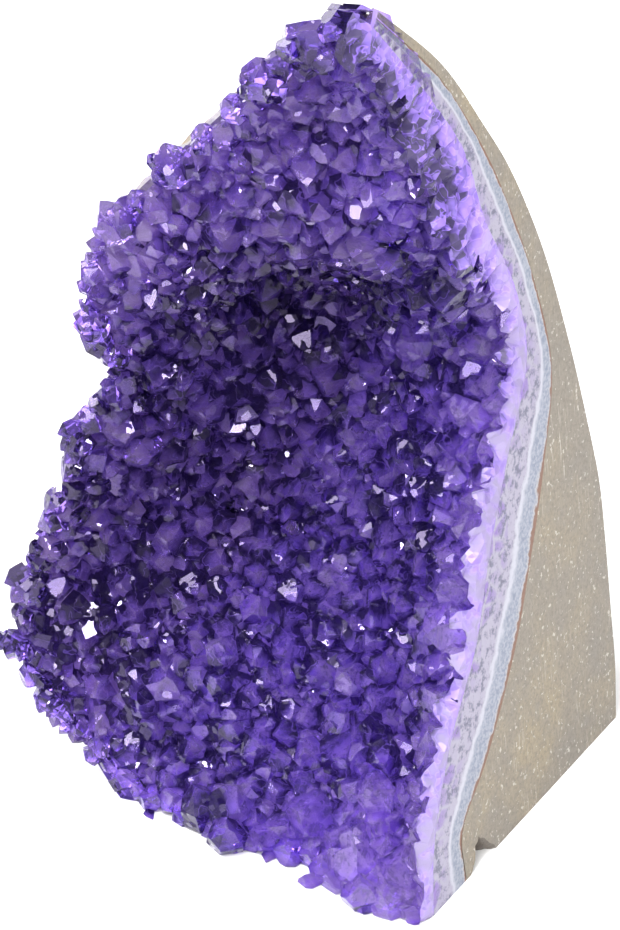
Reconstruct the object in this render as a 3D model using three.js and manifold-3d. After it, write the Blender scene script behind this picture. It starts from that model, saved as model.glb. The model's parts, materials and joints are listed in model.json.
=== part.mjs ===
// Amethyst geode: a piece of the wall of a crystal-lined hollow, sawn flat on its right side and its base.
// Three layers make it up: the basalt that the hollow formed in, a rind of agate and milky quartz, and a
// crust of fused amethyst crystals. Every layer is a closed surface around the hollow: rings run from a pole
// at the middle of its front, over its rim, to a pole at the middle of its back.
// Units are millimetres, +Z up. The crystals face -Y, and the origin is under the middle of the piece.
import * as THREE from "three";
import { ConvexGeometry } from "three/addons/geometries/ConvexGeometry.js";
import { ParametricGeometry } from "three/addons/geometries/ParametricGeometry.js";
import { mergeVertices } from "three/addons/utils/BufferGeometryUtils.js";
import Module from "manifold-3d";

const wasm = await Module();
wasm.setup();

// The front right corner of the base is the datum of every outline below: this is where it stands.
const CORNER = new THREE.Vector3(46, -35.5, 0);

// The sawn side leans in as it rises, and runs in a little as it goes back.
const SIDE_LEAN = 0.123;
const SIDE_TAPER = 0.027;

// Rims where each boundary between layers meets the outside. On the sawn side a point is its distance
// back from the front corner and its height.
const SEAT_SIDE = [
  [1.5, 0], [4, 13], [12, 28], [23, 41], [30, 55], [38.5, 69],
  [47.5, 83], [45.5, 98], [38, 113], [33.5, 127], [24.5, 142], [10.5, 157],
];
const ROCK_SIDE = [
  [12.5, 0], [13, 10], [23.3, 19], [35, 33], [43, 47], [50, 61.5],
  [55.4, 78], [51.5, 97], [44.5, 115], [38, 129], [28.5, 143.5], [11.5, 158],
];
const BACK_SIDE = [
  [68.5, 0], [69.6, 11], [69.5, 23], [69.4, 36], [68.8, 49], [66, 63],
  [62, 79.5], [56, 99], [48, 116.5], [40.5, 130], [30.5, 145], [12.5, 159],
];
// The broken left edge of the crystals' seat, from the peak down to the base.
const SEAT_LEFT = [
  [-30.5, 10.5, 153], [-42.5, 11, 140.5], [-54, 12, 128], [-66.5, 11, 114], [-73.5, 10, 103],
  [-74.5, 10, 90], [-72, 12, 79], [-77.5, 9, 66], [-82, 7, 50], [-89, 4.5, 28],
  [-84.5, 3.5, 16], [-71.5, 2.5, 6.5],
];
// Base lines, from the left corner to the sawn side.
const SEAT_BASE = [[-58, 1.5], [-40, 0.5], [-25, 3], [-12, -2]];
const ROCK_BASE = [[-55.5, 10], [-40, 11], [-25, 12], [-12, 12.5]];
const BACK_BASE = [[-50, 50], [-38, 61.5], [-25, 66], [-12, 68.5]];

// How far the boundaries lie behind the seat along the broken left edge, and the share of that edge at
// either end over which this changes to the spacing of the sawn side and of the base.
const ROCK_BEHIND_SEAT = new THREE.Vector3(-2.5, 6.5, -2);
const BACK_BEHIND_SEAT = new THREE.Vector3(-4, 16, -3);
const EDGE_BLEND = 0.28;

// Middle of the hollow's seat, middle of the back, and the point in front that the hollow faces.
const HOLLOW_MIDDLE = new THREE.Vector3(-41, 46, 80);
const BACK_MIDDLE = new THREE.Vector3(-44, 58, 64);
const BACK_BULGE = new THREE.Vector3(-4, 15, 2);
const FACING_POINT = new THREE.Vector3(10, -70, 82);
// Powers of the reach from the middle (0) to the rim (1): how flat the bowl is, and how late the layers
// turn to lie along the rim.
const HOLLOW_FLATNESS = 1.75;
const WALL_TURN = 3;

const RIND_THICKNESS = 9;
const CRUST_THICKNESS = 3.5;
const LAYER_GAP = 0.3;

// Swellings of the hollow's wall towards the front, and pits: place, radius and height. They die out at
// the rim.
const SWELLING_FADE = 8;
const SWELLINGS = [
  { at: [-36, 34, 118], radius: 20, height: 13 },
  { at: [-62, 22, 104], radius: 15, height: 9 },
  { at: [-50, 40, 90], radius: 13, height: -5 },
  { at: [-62, 20, 26], radius: 20, height: 8 },
  { at: [-27, 22, 38], radius: 12, height: 5 },
  { at: [-52, 34, 50], radius: 12, height: -5 },
].map((s) => ({ ...s, at: new THREE.Vector3(...s.at) }));

// Lumps on the rough back: crossing waves, each with its share of x and of height, and its shift. They die
// out at the rim.
const LUMP_LENGTH = 5.2;
const LUMP_HEIGHT = 0.8;
const LUMP_FADE = 6;
const LUMP_WAVES = [[1, 0.6, 0], [-0.5, 0.8, 9], [0.7, 0.7, 31]];

// The chip that is missing from the rock's lower edge on the sawn side: its mouth, and how deep its root
// lies.
const CHIP_MOUTH = [[11, -2], [26, -2], [17.5, 9.5]];
const CHIP_PROUD = 3;
const CHIP_DEPTH = 9;

// Steps around the rim (sawn side, broken edge, base) and from a pole to the rim.
const SIDE_STEPS = 15;
const LEFT_STEPS = 16;
const BASE_STEPS = 5;
const AROUND = SIDE_STEPS + LEFT_STEPS + BASE_STEPS;
const FACE_RINGS = 6;
const BACK_RINGS = 9;

// Crystals: six-sided, with a blunt point, rooted in the crust. They grow larger towards the front corner,
// and lean outwards at the rim. A few leading ones mark the corners of the outline: reach, place around the
// rim and share of the largest size.
const LEADERS = [
  [1, 0.422, 0.9], [1, 0.45, 0.8], [1, 0.475, 0.6], [0.99, 0.53, 0.6], [0.99, 0.565, 0.7],
  [0.99, 0.69, 0.3], [0.98, 0.75, 0.5], [0.93, 0.985, 0.3],
];
const SEED = 20613;
const STREAM_FACTOR = 1664525;
const STREAM_STEP = 1013904223;
const CRYSTAL_COUNT = 185;
const CRYSTAL_TRIES = 6000;
const CRYSTAL_SPACING = 1.3;
const CRYSTAL_RADIUS = [3.9, 6.6];
const CORNER_GROWTH = 0.2;
const CORNER_REACH = 42;
const CRYSTAL_ROOT = 2.6;
const BELT_DEPTH = 0.8;
const CRYSTAL_TILT = 0.35;
const RIM_FLARE = 2;
const RIM_FLARE_START = 8;
const POINT_RATIO = 1.1;

// Working sizes: a cutting block, the brim of the cutter behind the crust, and the distances within which
// facets and corners are merged.
const BLOCK = 400;
const CUTTING_BRIM = 1.1;
const FACET_TOLERANCE = 0.08;
const CORNER_TOLERANCE = 0.001;

const MATERIALS = {
  basalt_matrix: { color: 0xa89c88, roughness: 0.7, metalness: 0 },
  agate_rind: { color: 0xd9dbe6, roughness: 0.4, metalness: 0 },
  amethyst_crust: { color: 0x56359f, roughness: 0.12, metalness: 0 },
};

const mix = THREE.MathUtils.lerp;
const between = (a, b, t) => new THREE.Vector3().lerpVectors(a, b, t);
const smooth = (curvePoints) => new THREE.CatmullRomCurve3(curvePoints, false, "catmullrom", 0.5);

// A point of the sawn side, from its distance back and its height.
function onSide(back, height) {
  return new THREE.Vector3(-SIDE_TAPER * back - SIDE_LEAN * height, back, height);
}

// One rim: the sawn side from the base to the peak, the broken left edge down again, and the base line.
// The left edges of the deeper rims follow the seat's, shifted behind it, and meet their own ends.
function makeRim(side, base, behind) {
  const sidePoints = side.map(([back, height]) => onSide(back, height));
  const basePoints = base.map(([x, y]) => new THREE.Vector3(x, y, 0));
  const seatPeak = onSide(...SEAT_SIDE[SEAT_SIDE.length - 1]);
  const seatFoot = new THREE.Vector3(...SEAT_BASE[0], 0);
  const seatLeft = smooth([seatPeak, ...SEAT_LEFT.map((p) => new THREE.Vector3(...p)), seatFoot]);
  const peakShift = sidePoints[sidePoints.length - 1].clone().sub(seatPeak);
  const footShift = basePoints[0].clone().sub(seatFoot);
  const sideCurve = smooth(sidePoints);
  const baseCurve = smooth([...basePoints, sidePoints[0]]);
  const leftPoint = (t) => {
    const atPeak = Math.max(0, 1 - t / EDGE_BLEND) ** 2;
    const atFoot = Math.max(0, 1 - (1 - t) / EDGE_BLEND) ** 2;
    const shift = behind.clone().multiplyScalar((1 - atPeak) * (1 - atFoot));
    shift.addScaledVector(peakShift, atPeak).addScaledVector(footShift, atFoot);
    return seatLeft.getPoint(t).add(shift);
  };
  return (around) => {
    const step = around * AROUND;
    if (step <= SIDE_STEPS) return sideCurve.getPoint(step / SIDE_STEPS);
    if (step <= SIDE_STEPS + LEFT_STEPS) return leftPoint((step - SIDE_STEPS) / LEFT_STEPS);
    return baseCurve.getPoint(Math.min(1, (step - SIDE_STEPS - LEFT_STEPS) / BASE_STEPS));
  };
}

const seatRim = makeRim(SEAT_SIDE, SEAT_BASE, new THREE.Vector3());
const rockRim = makeRim(ROCK_SIDE, ROCK_BASE, ROCK_BEHIND_SEAT);
const backRim = makeRim(BACK_SIDE, BACK_BASE, BACK_BEHIND_SEAT);

const towardsFront = (p) => FACING_POINT.clone().sub(p).normalize();

// The crystals' seat: straight lines from the hollow's middle to the rim, pressed back into a bowl that is
// flat in the middle and steep at the rim, with the swellings raised on it.
function seatPoint(reach, around) {
  const rim = seatRim(around);
  const p = between(HOLLOW_MIDDLE, rim, reach);
  p.y = mix(HOLLOW_MIDDLE.y, rim.y, reach ** HOLLOW_FLATNESS);
  const front = towardsFront(p);
  const fade = 1 - reach ** SWELLING_FADE;
  for (const { at, radius, height } of SWELLINGS) {
    const share = Math.exp(-p.distanceToSquared(at) / radius ** 2);
    p.addScaledVector(front, height * share * fade);
  }
  return p;
}

// The way from the seat to the rock: along the rim's own wall at the edge, straight back in the middle.
function rindWay(reach, around) {
  const wall = rockRim(around).sub(seatRim(around));
  const straight = towardsFront(seatPoint(reach, around)).multiplyScalar(-RIND_THICKNESS);
  return between(straight, wall, reach ** WALL_TURN);
}

// A surface that lies a number of millimetres behind the seat (or in front of it), or behind the rock's face.
function behindSeat(offset) {
  return (reach, around) => {
    const way = rindWay(reach, around);
    return seatPoint(reach, around).addScaledVector(way.normalize(), offset);
  };
}
function behindRockFace(offset) {
  return (reach, around) => {
    const way = rindWay(reach, around);
    const length = way.length();
    return seatPoint(reach, around).addScaledVector(way, (length + offset) / length);
  };
}

// The faces of the layers, from the front to the back.
const LEVELS = [
  behindSeat(-CRUST_THICKNESS),
  behindSeat(-LAYER_GAP / 2),
  behindSeat(LAYER_GAP / 2),
  behindRockFace(-LAYER_GAP / 2),
  behindRockFace(LAYER_GAP / 2),
];
const [CRUST_FRONT, CRUST_BACK, RIND_FRONT, RIND_BACK, ROCK_FRONT] = LEVELS.keys();

// The rough back: straight lines from the middle to the rim, bulged outwards and covered in low lumps.
function backPoint(reach, around) {
  const p = between(BACK_MIDDLE, backRim(around), reach);
  p.addScaledVector(BACK_BULGE, 1 - reach ** 2);
  const fade = 1 - reach ** LUMP_FADE;
  for (const [across, up, shift] of LUMP_WAVES) {
    p.y += LUMP_HEIGHT * fade * Math.sin((across * p.x + up * p.z + shift) / LUMP_LENGTH);
  }
  return p;
}

// Everything behind one of the faces, as a closed surface of rings: the face from its pole to its rim, the
// wall through the rims of the faces behind it, and the rough back to its own pole. A brim over 1 carries the
// face and the wall outwards past the rim, for cutting.
function allBehind(level, brim = 1) {
  const rims = LEVELS.slice(level);
  const rings = FACE_RINGS + rims.length + 1 + BACK_RINGS;
  const ringPoint = (ring, around) => {
    if (ring <= FACE_RINGS) return LEVELS[level](ring / FACE_RINGS, around);
    if (ring <= FACE_RINGS + rims.length) return rims[ring - FACE_RINGS - 1](brim, around);
    return backPoint((rings - ring) / BACK_RINGS, around);
  };
  const surfacePoint = (turn, along, target) => {
    target.copy(ringPoint(Math.round(along * rings), (1 - turn) % 1));
  };
  return solidFrom(new ParametricGeometry(surfacePoint, AROUND, rings));
}

// A closed geometry as a solid: shared corners are merged and collapsed triangles are left out.
function solidFrom(geometry) {
  geometry.deleteAttribute("normal");
  geometry.deleteAttribute("uv");
  const merged = mergeVertices(geometry, CORNER_TOLERANCE);
  const corners = merged.index.array;
  const kept = [];
  for (let i = 0; i < corners.length; i += 3) {
    const [a, b, c] = corners.subarray(i, i + 3);
    if (a !== b && b !== c && a !== c) kept.push(a, b, c);
  }
  return new wasm.Manifold(new wasm.Mesh({
    numProp: 3,
    vertProperties: merged.attributes.position.array,
    triVerts: new Uint32Array(kept),
  }));
}

// A block to cut away, lying against a plane on the side that its normal points to.
function beyondPlane(point, normal) {
  const box = new THREE.BoxGeometry(BLOCK, BLOCK, BLOCK).translate(0, 0, BLOCK / 2);
  const turn = new THREE.Quaternion().setFromUnitVectors(new THREE.Vector3(0, 0, 1), normal);
  box.applyQuaternion(turn).translate(point.x, point.y, point.z);
  return solidFrom(box);
}

// The chip: a pyramid whose mouth stands proud of the sawn side and whose root lies inside, below the base.
function chip() {
  const out = sideNormal();
  const mouth = CHIP_MOUTH.map(([back, height]) => onSide(back, height).addScaledVector(out, CHIP_PROUD));
  const root = between(mouth[0], mouth[1], 0.5).addScaledVector(out, -CHIP_DEPTH - CHIP_PROUD);
  return solidFrom(new ConvexGeometry([...mouth, root]));
}

function sideNormal() {
  return new THREE.Vector3(1, SIDE_TAPER, SIDE_LEAN).normalize();
}

// A repeatable stream of numbers from 0 to 1: each is the last one times a factor, plus a step, in 32 bits.
function numberStream(seed) {
  let state = seed >>> 0;
  return () => {
    state = (Math.imul(state, STREAM_FACTOR) + STREAM_STEP) >>> 0;
    return state / 2 ** 32;
  };
}

// Places for the crystals: tries spread evenly over the seat, kept where they stand clear of earlier ones.
function crystalPlaces() {
  const next = numberStream(SEED);
  const seat = LEVELS[CRUST_FRONT];
  const places = [];
  for (let i = 0; i < CRYSTAL_TRIES && places.length < CRYSTAL_COUNT; i++) {
    const [a, b, c, d, e, f] = Array.from({ length: 6 }, next);
    const [reach, around, size] = LEADERS[i] ?? [Math.sqrt(a), b, c * c];
    const at = seat(reach, around);
    const growth = 1 + CORNER_GROWTH * Math.exp(-at.lengthSq() / CORNER_REACH ** 2);
    const radius = mix(...CRYSTAL_RADIUS, size) * growth;
    if (places.some((p) => p.at.distanceTo(at) < CRYSTAL_SPACING * 0.5 * (p.radius + radius))) continue;
    const flare = at.clone().sub(HOLLOW_MIDDLE).setY(0).normalize();
    const axis = towardsFront(at).addScaledVector(flare, RIM_FLARE * reach ** RIM_FLARE_START);
    axis.add(new THREE.Vector3(d - 0.5, e - 0.5, f - 0.5).multiplyScalar(2 * CRYSTAL_TILT)).normalize();
    places.push({ at, axis, radius, spin: f * Math.PI });
  }
  return places;
}

// One crystal: a six-sided point, widest at its belt just inside the crust, that tapers to a root below it.
function crystal({ at, axis, radius, spin }) {
  const profile = [[0, -CRYSTAL_ROOT], [radius, -BELT_DEPTH], [0, POINT_RATIO * radius]];
  const solid = new THREE.LatheGeometry(profile.map(([x, y]) => new THREE.Vector2(x, y)), 6);
  solid.rotateY(spin);
  solid.applyQuaternion(new THREE.Quaternion().setFromUnitVectors(new THREE.Vector3(0, 1, 0), axis));
  return solidFrom(solid.translate(at.x, at.y, at.z));
}

function basaltMatrix() {
  return allBehind(ROCK_FRONT).subtract(chip());
}

function agateRind() {
  return allBehind(RIND_FRONT).subtract(allBehind(RIND_BACK));
}

function amethystCrust() {
  const grown = wasm.Manifold.union([allBehind(CRUST_FRONT), ...crystalPlaces().map(crystal)]);
  const sawn = grown.subtract(beyondPlane(new THREE.Vector3(), sideNormal()));
  const down = new THREE.Vector3(0, 0, -1);
  const levelled = sawn.subtract(beyondPlane(new THREE.Vector3(0, 0, LAYER_GAP), down));
  const crust = levelled.subtract(allBehind(CRUST_BACK, CUTTING_BRIM));
  return largestPiece(crust.asOriginal().simplify(FACET_TOLERANCE));
}

// The main body of a solid, without crumbs that a cut has left and pockets closed in between crystals.
function largestPiece(solid) {
  return solid.decompose().reduce((best, piece) => (piece.volume() > best.volume() ? piece : best));
}

// A solid as a named mesh with its own material.
function pieceMesh(name, solid) {
  const { vertProperties, triVerts } = solid.getMesh();
  const geometry = new THREE.BufferGeometry();
  geometry.setAttribute("position", new THREE.BufferAttribute(vertProperties, 3));
  geometry.setIndex(new THREE.BufferAttribute(triVerts, 1));
  geometry.computeVertexNormals();
  const mesh = new THREE.Mesh(geometry, new THREE.MeshStandardMaterial(MATERIALS[name]));
  mesh.name = name;
  return mesh;
}

const geode = new THREE.Group();
geode.position.copy(CORNER);
geode.add(pieceMesh("basalt_matrix", basaltMatrix()));
geode.add(pieceMesh("agate_rind", agateRind()));
geode.add(pieceMesh("amethyst_crust", amethystCrust()));

export default geode;
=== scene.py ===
"""Dresses a sawn amethyst geode: a block of basalt, the agate rind in it and the crystals of its hollow.

The shapes are worked out in millimetres in the corner frame, whose origin is the front right corner of the
base, and are put into the shared frame in metres when a mesh is made.
"""

import itertools
import json
import math

import bmesh
import bpy
import numpy as np
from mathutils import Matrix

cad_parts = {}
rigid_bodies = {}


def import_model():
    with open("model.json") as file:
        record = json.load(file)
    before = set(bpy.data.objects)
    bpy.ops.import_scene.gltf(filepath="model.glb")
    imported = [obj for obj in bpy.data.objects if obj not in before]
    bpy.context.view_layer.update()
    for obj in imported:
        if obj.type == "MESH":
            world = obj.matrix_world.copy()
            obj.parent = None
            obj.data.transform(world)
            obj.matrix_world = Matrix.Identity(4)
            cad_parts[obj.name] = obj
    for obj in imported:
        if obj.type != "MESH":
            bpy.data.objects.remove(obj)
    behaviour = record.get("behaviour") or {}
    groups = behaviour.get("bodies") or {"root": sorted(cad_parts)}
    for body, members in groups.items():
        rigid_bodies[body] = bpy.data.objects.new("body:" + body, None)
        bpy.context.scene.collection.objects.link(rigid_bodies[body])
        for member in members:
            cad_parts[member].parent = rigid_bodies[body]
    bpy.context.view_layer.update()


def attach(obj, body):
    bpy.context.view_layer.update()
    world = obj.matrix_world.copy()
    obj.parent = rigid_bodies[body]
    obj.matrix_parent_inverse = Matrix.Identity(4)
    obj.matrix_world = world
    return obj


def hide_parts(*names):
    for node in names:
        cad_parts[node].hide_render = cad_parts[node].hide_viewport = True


bl_info = {
    "name": "Amethyst geode",
    "version": (1, 0, 0),
    "blender": (4, 5, 0),
    "location": "3D View > Sidebar > Geode",
    "description": "Makes the rock, the agate rind and the crystals of a sawn amethyst geode",
    "category": "Object",
}

for leftover in list(bpy.data.objects):
    bpy.data.objects.remove(leftover)
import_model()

MM = 0.001
CORNER = np.array((46.0, -35.5, 0.0))

# The sawn side: how far it falls inwards per millimetre backwards and upwards
SIDE_TAPER = 0.027
SIDE_LEAN = 0.123
SIDE_NORMAL = np.array((1, SIDE_TAPER, SIDE_LEAN)) / math.hypot(1, SIDE_TAPER, SIDE_LEAN)

# Outlines of the layers on the sawn side, as distance back and height
SEAT_SIDE = (
    (1.5, 0), (4, 13), (12, 28), (23, 41), (30, 55), (38.5, 69), (47.5, 83), (45.5, 98), (38, 113),
    (33.5, 127), (23.5, 141.3), (10.5, 157),
)
ROCK_SIDE = (
    (12.5, 0), (13, 10), (23.3, 19), (35, 33), (43, 47), (50, 61.5), (55.4, 78), (51.5, 97), (44.5, 115),
    (37.2, 128.6), (27, 142.8), (11.5, 158),
)
BACK_SIDE = (
    (68.5, 0), (69.6, 11), (69.5, 23), (69.4, 36), (68.8, 49), (66, 63), (62, 79.5), (56, 99), (48, 116.5),
    (39.5, 129.5), (28.6, 144), (12.2, 158.8),
)

# The broken left edge of the crystals' seat, from the peak down to the foot
SEAT_LEFT = (
    (-30.5, 10.5, 153), (-42.5, 11, 140.5), (-54, 12, 128), (-66.5, 11, 114), (-73.5, 10, 103),
    (-74.5, 10, 90), (-72, 12, 79), (-77.5, 9, 66), (-82, 7, 50), (-89, 4.5, 28), (-84.5, 3.5, 16),
    (-71.5, 2.5, 6.5),
)

# Outlines of the layers on the base, from the foot to the front right corner
SEAT_BASE = ((-58, 1.5), (-40, 0.5), (-25, 3), (-12, -2))
ROCK_BASE = ((-55.5, 10), (-40, 11), (-25, 12), (-12, 12.5))
BACK_BASE = ((-50, 50), (-38, 61.5), (-25, 66), (-12, 68.5))
ROCK_BEHIND_SEAT = np.array((-2.5, 6.5, -2))
BACK_BEHIND_SEAT = np.array((-4, 16, -3))
EDGE_BLEND = 0.28
PEAK_THINNING = np.array((1, -3, -1.2))
THINNING_START = (0, 0.03)
THINNING_END = (0.16, 0.05)
EDGE_STEP = 0.05

# The hollow, the layers in it and the rough back
HOLLOW_MIDDLE = np.array((-41.0, 46, 80))
BACK_MIDDLE = np.array((-44.0, 58, 64))
BACK_BULGE = np.array((-4.0, 15, 2))
FACING_POINT = np.array((10.0, -70, 82))
HOLLOW_FLATNESS = 1.75
WALL_TURN = 3
RIND_THICKNESS = 9
CRUST_THICKNESS = 3.5
SAWN_THICKNESS = 1.2
SAWN_THINNING = 5
LAYER_GAP = 0.3
SWELLING_FADE = 8
SWELLINGS = (
    ((-36, 34, 118), 20, 13), ((-62, 22, 104), 15, 9), ((-50, 40, 90), 13, -5), ((-62, 20, 26), 20, 8),
    ((-27, 22, 38), 12, 5), ((-52, 34, 50), 12, -5),
)
LUMP_LENGTH = 5.2
LUMP_HEIGHT = 0.8
LUMP_FADE = 6
LUMP_WAVES = ((1, 0.6, 0), (-0.5, 0.8, 9), (0.7, 0.7, 31))

# The chips of the broken rock: how many, numbers drawn for each, the box of their centres, slope and blend
CHIP_COUNT = 380
CHIP_DRAWS = 7
CHIP_BOX = ((-98, -5, -5), (5, 82, 162))
CHIP_SLOPE = 0.42
CHIP_BLEND = 26

# The rock: its middle, the least of it behind the rind, and how much thicker it is away from its rim
ROCK_MIDDLE = np.array((-35.0, 20, 70))
LEAST_ROCK = 2.2
ROCK_THICKENING = 3
THICKENING_FADE = 12

# The chip in the rock's lower edge: its mouth on the sawn side, and how far it reaches out and in
CHIP_MOUTH = ((11, -2), (26, -2), (17.5, 9.5))
CHIP_PROUD = 3
CHIP_DEPTH = 9

# Shares of the way around the rim: the sawn side, the broken left edge and the base line
SIDE_STEPS = 15
LEFT_STEPS = 16
BASE_STEPS = 5
AROUND_STEPS = SIDE_STEPS + LEFT_STEPS + BASE_STEPS
PEAK = SIDE_STEPS / AROUND_STEPS
FOOT = (SIDE_STEPS + LEFT_STEPS) / AROUND_STEPS

# The main crystals: reach, place around and size of the leading ones, and the rules for the others
LEADERS = (
    (1, 0.422, 0.9), (1, 0.45, 0.8), (1, 0.475, 0.6), (0.99, 0.53, 0.6), (0.99, 0.565, 0.7),
    (0.99, 0.69, 0.3), (0.98, 0.75, 0.5), (0.93, 0.985, 0.3),
)
SEED = 20613
POINT_SEED = SEED + 1
SAW_SEED = SEED + 2
ROCK_SEED = SEED + 3
STREAM_FACTOR = 1664525
STREAM_STEP = 1013904223
STREAM_SIZE = 2 ** 32
CRYSTAL_DRAWS = 6
MAIN_COUNT = 185
MAIN_TRIES = 6000
MAIN_SPACING = 1.3
MAIN_RADIUS = (3.9, 6.6)
CORNER_GROWTH = 0.2
CORNER_REACH = 42
CRYSTAL_TILT = 0.35
PEAK_CRYSTALS = (
    (PEAK - 0.034, 2.4, 4.6, 0.1), (PEAK - 0.022, 2.8, 5.2, 0), (PEAK - 0.012, 2.5, 5.6, -0.2),
    (PEAK - 0.003, 3.0, 6.4, -0.1), (PEAK + 0.007, 2.4, 4.4, -0.4),
)
PEAK_SHIFT = np.array((0, 1.2, -2))
PEAK_LEAN = -0.3
PEAK_SPIN = 9
PEAK_SCRAMBLES = (7.3, 91.7, 57.1)
EDGE_SHORTENING = 0.3
RIM_FLARE = 2
SAWN_LEAN = 0.5
RIM_FLARE_START = 8
POINT_RATIO = 1.1
SAWN_BRIM = 1.03
BROKEN_BRIM = 0.98
WIDTH_PLACES = (-60, -5)
EDGE_START = 0.85

# Noise: the factors that scramble a lattice corner's place, and how much lower each finer noise is
PLACE_FACTORS = np.array((73856093, 19349663, 83492791))
SEED_FACTOR = 40503
SCRAMBLES = ((13, 1274126177), (15, 40692))
KEY_BITS = 2 ** 32 - 1
LOW_BITS = 2 ** 16 - 1
NOISE_FALL = 0.55

# The relief of broken rock on its chips: fine roughness, and pits where a noise is high
GRAIN_SIZE = 6
GRAIN_HEIGHT = 0.55
GRAIN_OCTAVES = 4
PIT_SIZE = 4.2
PIT_EDGE = (0.35, 0.75)
PIT_DEPTH = 0.6
PIT_SEED = 7
FLAT_MARGIN = (0.2, 5)
SHARP_ANGLE = math.radians(40)

# A quartz point whose prism faces lie one unit from its axis: its end faces, tip, root and how they vary
PRISM_SIDES = 6
END_FACE_TILT = math.radians(38.2)
TIP_HEIGHT = 1.53
ROOT_DEPTH = 0.9
POINT_KINDS = 18
FACET_SHARE = 0.6
START_BLOCK = 6
PRISM_SPREAD = 0.3
FAR_ENDS = (0.03, 0.3)
NEAR_ENDS = (0.1, 0.6)
CUT_TOLERANCE = 1e-5
MERGE_DISTANCE = 0.02
PRISM_GIRTH = 1.35

# The ring of side crystals around a main one: sizes in its radius, and how much each of them varies
BUNCH_SIZE = (0.5, 0.35)
BUNCH_DISTANCE = (0.62, 0.2)
BUNCH_SINK = 0.12
BUNCH_LEAN = (0.25, 0.35)
BUNCH_HEIGHT = (1.5, 0.8)
BUNCH_TALLEST = 0.85
BUNCH_SPIN = 2.3
BUNCH_TWIST = 0.5
BUNCH_SCRAMBLE = 7.1
BUNCH_CHANCES = ((3.7, 1), (9.1, 0.37))

# Depth of colour along a crystal, painted shade at its root and painted light at its tip: at its root, how
# much less at its tip, and how much it differs by crystal
ROOT_SHADE = 0.4
TIP_LIGHT = 0.72
TIP_BEND = 1.2
CRYSTAL_SPREAD = 0.35
# Painted shade: how much deeper the bed between the crystals is coloured
BED_SHADE = 0.3
HIDDEN_COLOUR = 0.3
MIDDLE_TONE = 0.5
FACET_SCRAMBLES = (9.7, 0.618)

# Depth of colour: at the sawn side below and above, in the hollow, at the peak, at the edge and at the base
SIDE_DEPTH = 0.36
SIDE_DEPTH_RISE = 0.36
SIDE_DEPTH_HEIGHTS = (90, 135)
SIDE_DEPTH_REACH = (0.5, 12)
HOLLOW_DEPTH = 0.81
PEAK_DEPTH = 0.06
PEAK_DEPTH_HEIGHTS = (138, 150)
EDGE_PALLOR = 0.32
BASE_PALLOR = 0.16
PALLOR_REACH = 9
EDGE_POINTS = 50
SEAT_LINE_POINTS = 240

# Where the crystals' colour is paler or deeper than around it: middle, radius and change of depth. The deeper
# patches under the upper swellings are painted shade, the paler ones on the swellings painted light
SHADE_LIGHT_AND_COLOUR_PATCHES = (
    ((-12, 0, 4), 20, -0.4), ((-36, 22, 124), 24, -0.24), ((-66, 10, 106), 18, -0.32),
    ((-44, 40, 66), 20, -0.12), ((-37, 15, 24), 10, -0.16), ((-55, 32, 89), 18, 0.42),
    ((-55, 14, 108), 8, 0.24), ((-60, 22, 90), 10, 0.2), ((-24, 33, 102), 11, 0.3), ((-71, 13, 35), 10, 0.2),
)

# Directions that no axis lies along, from which a direction across an axis is worked out
BLOCK_ASIDE = (0.31, 0.87, 0.38)
CRYSTAL_ASIDE = (0.2, 0.4, 0.9)

# The saw cut through the crust: the grid's pace and thickness, where crystals break off and how deep
SAW_PACE = 1.9
SAW_THICKNESS = 60
SAW_BACK = (-70, 100)
SAW_HEIGHT = (-20, 190)
BREAK_REACH = (1.2, 4.5)
BREAK_DEPTH = (0.3, 3.2)
BREAK_BEND = 1.5
SAWN_DEPTH = 0.3
SAWN_DEPTH_RISE = 0.2
SAWN_DEPTH_HEIGHTS = (95, 140)
SAWN_DEPTH_INWARDS = 0.45
SAWN_DEPTH_REACH = (7, 4)
SAWN_DEPTH_SPREAD = 0.3
BASE_BLOCK = 400

# Scratches of the saw: turn and least noise of each set, the noise's pace along each axis and the soft edge
SCRATCHES = ((0.6, 0.62), (-0.35, 0.64), (1.1, 0.63))
SCRATCH_SCALE = (150, 2600, 150)
SCRATCH_EDGE = 0.12

# How strongly the stones bend light, and what the amethyst lets through
AMETHYST_IOR = 1.544
AGATE_IOR = 1.54
BASALT_IOR = 1.5
ABSORPTION = {"Color": (0.56, 0.36, 1.0, 1), "Density": 55.0}

# Lights: name, azimuth and elevation in degrees, distance and size in metres, and power in watts
LIGHTS = (
    ("ceiling", 0, 80, 1.05, 0.9, 6),
    ("panel", 18, 44, 1.1, 0.46, 6),
    ("left_panel", -32, 54, 1.1, 0.36, 4),
    ("window", -50, 30, 1.0, 0.35, 5),
    ("rim", -112, 24, 1.0, 0.5, 3.5),
    ("spark", 8, 58, 1.0, 0.14, 3),
    ("glint", 45, 50, 1.0, 0.14, 2.4),
    ("left_glint", -75, 48, 1.0, 0.14, 2.6),
    ("right_glint", 78, 42, 1.0, 0.12, 1.0),
)

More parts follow.
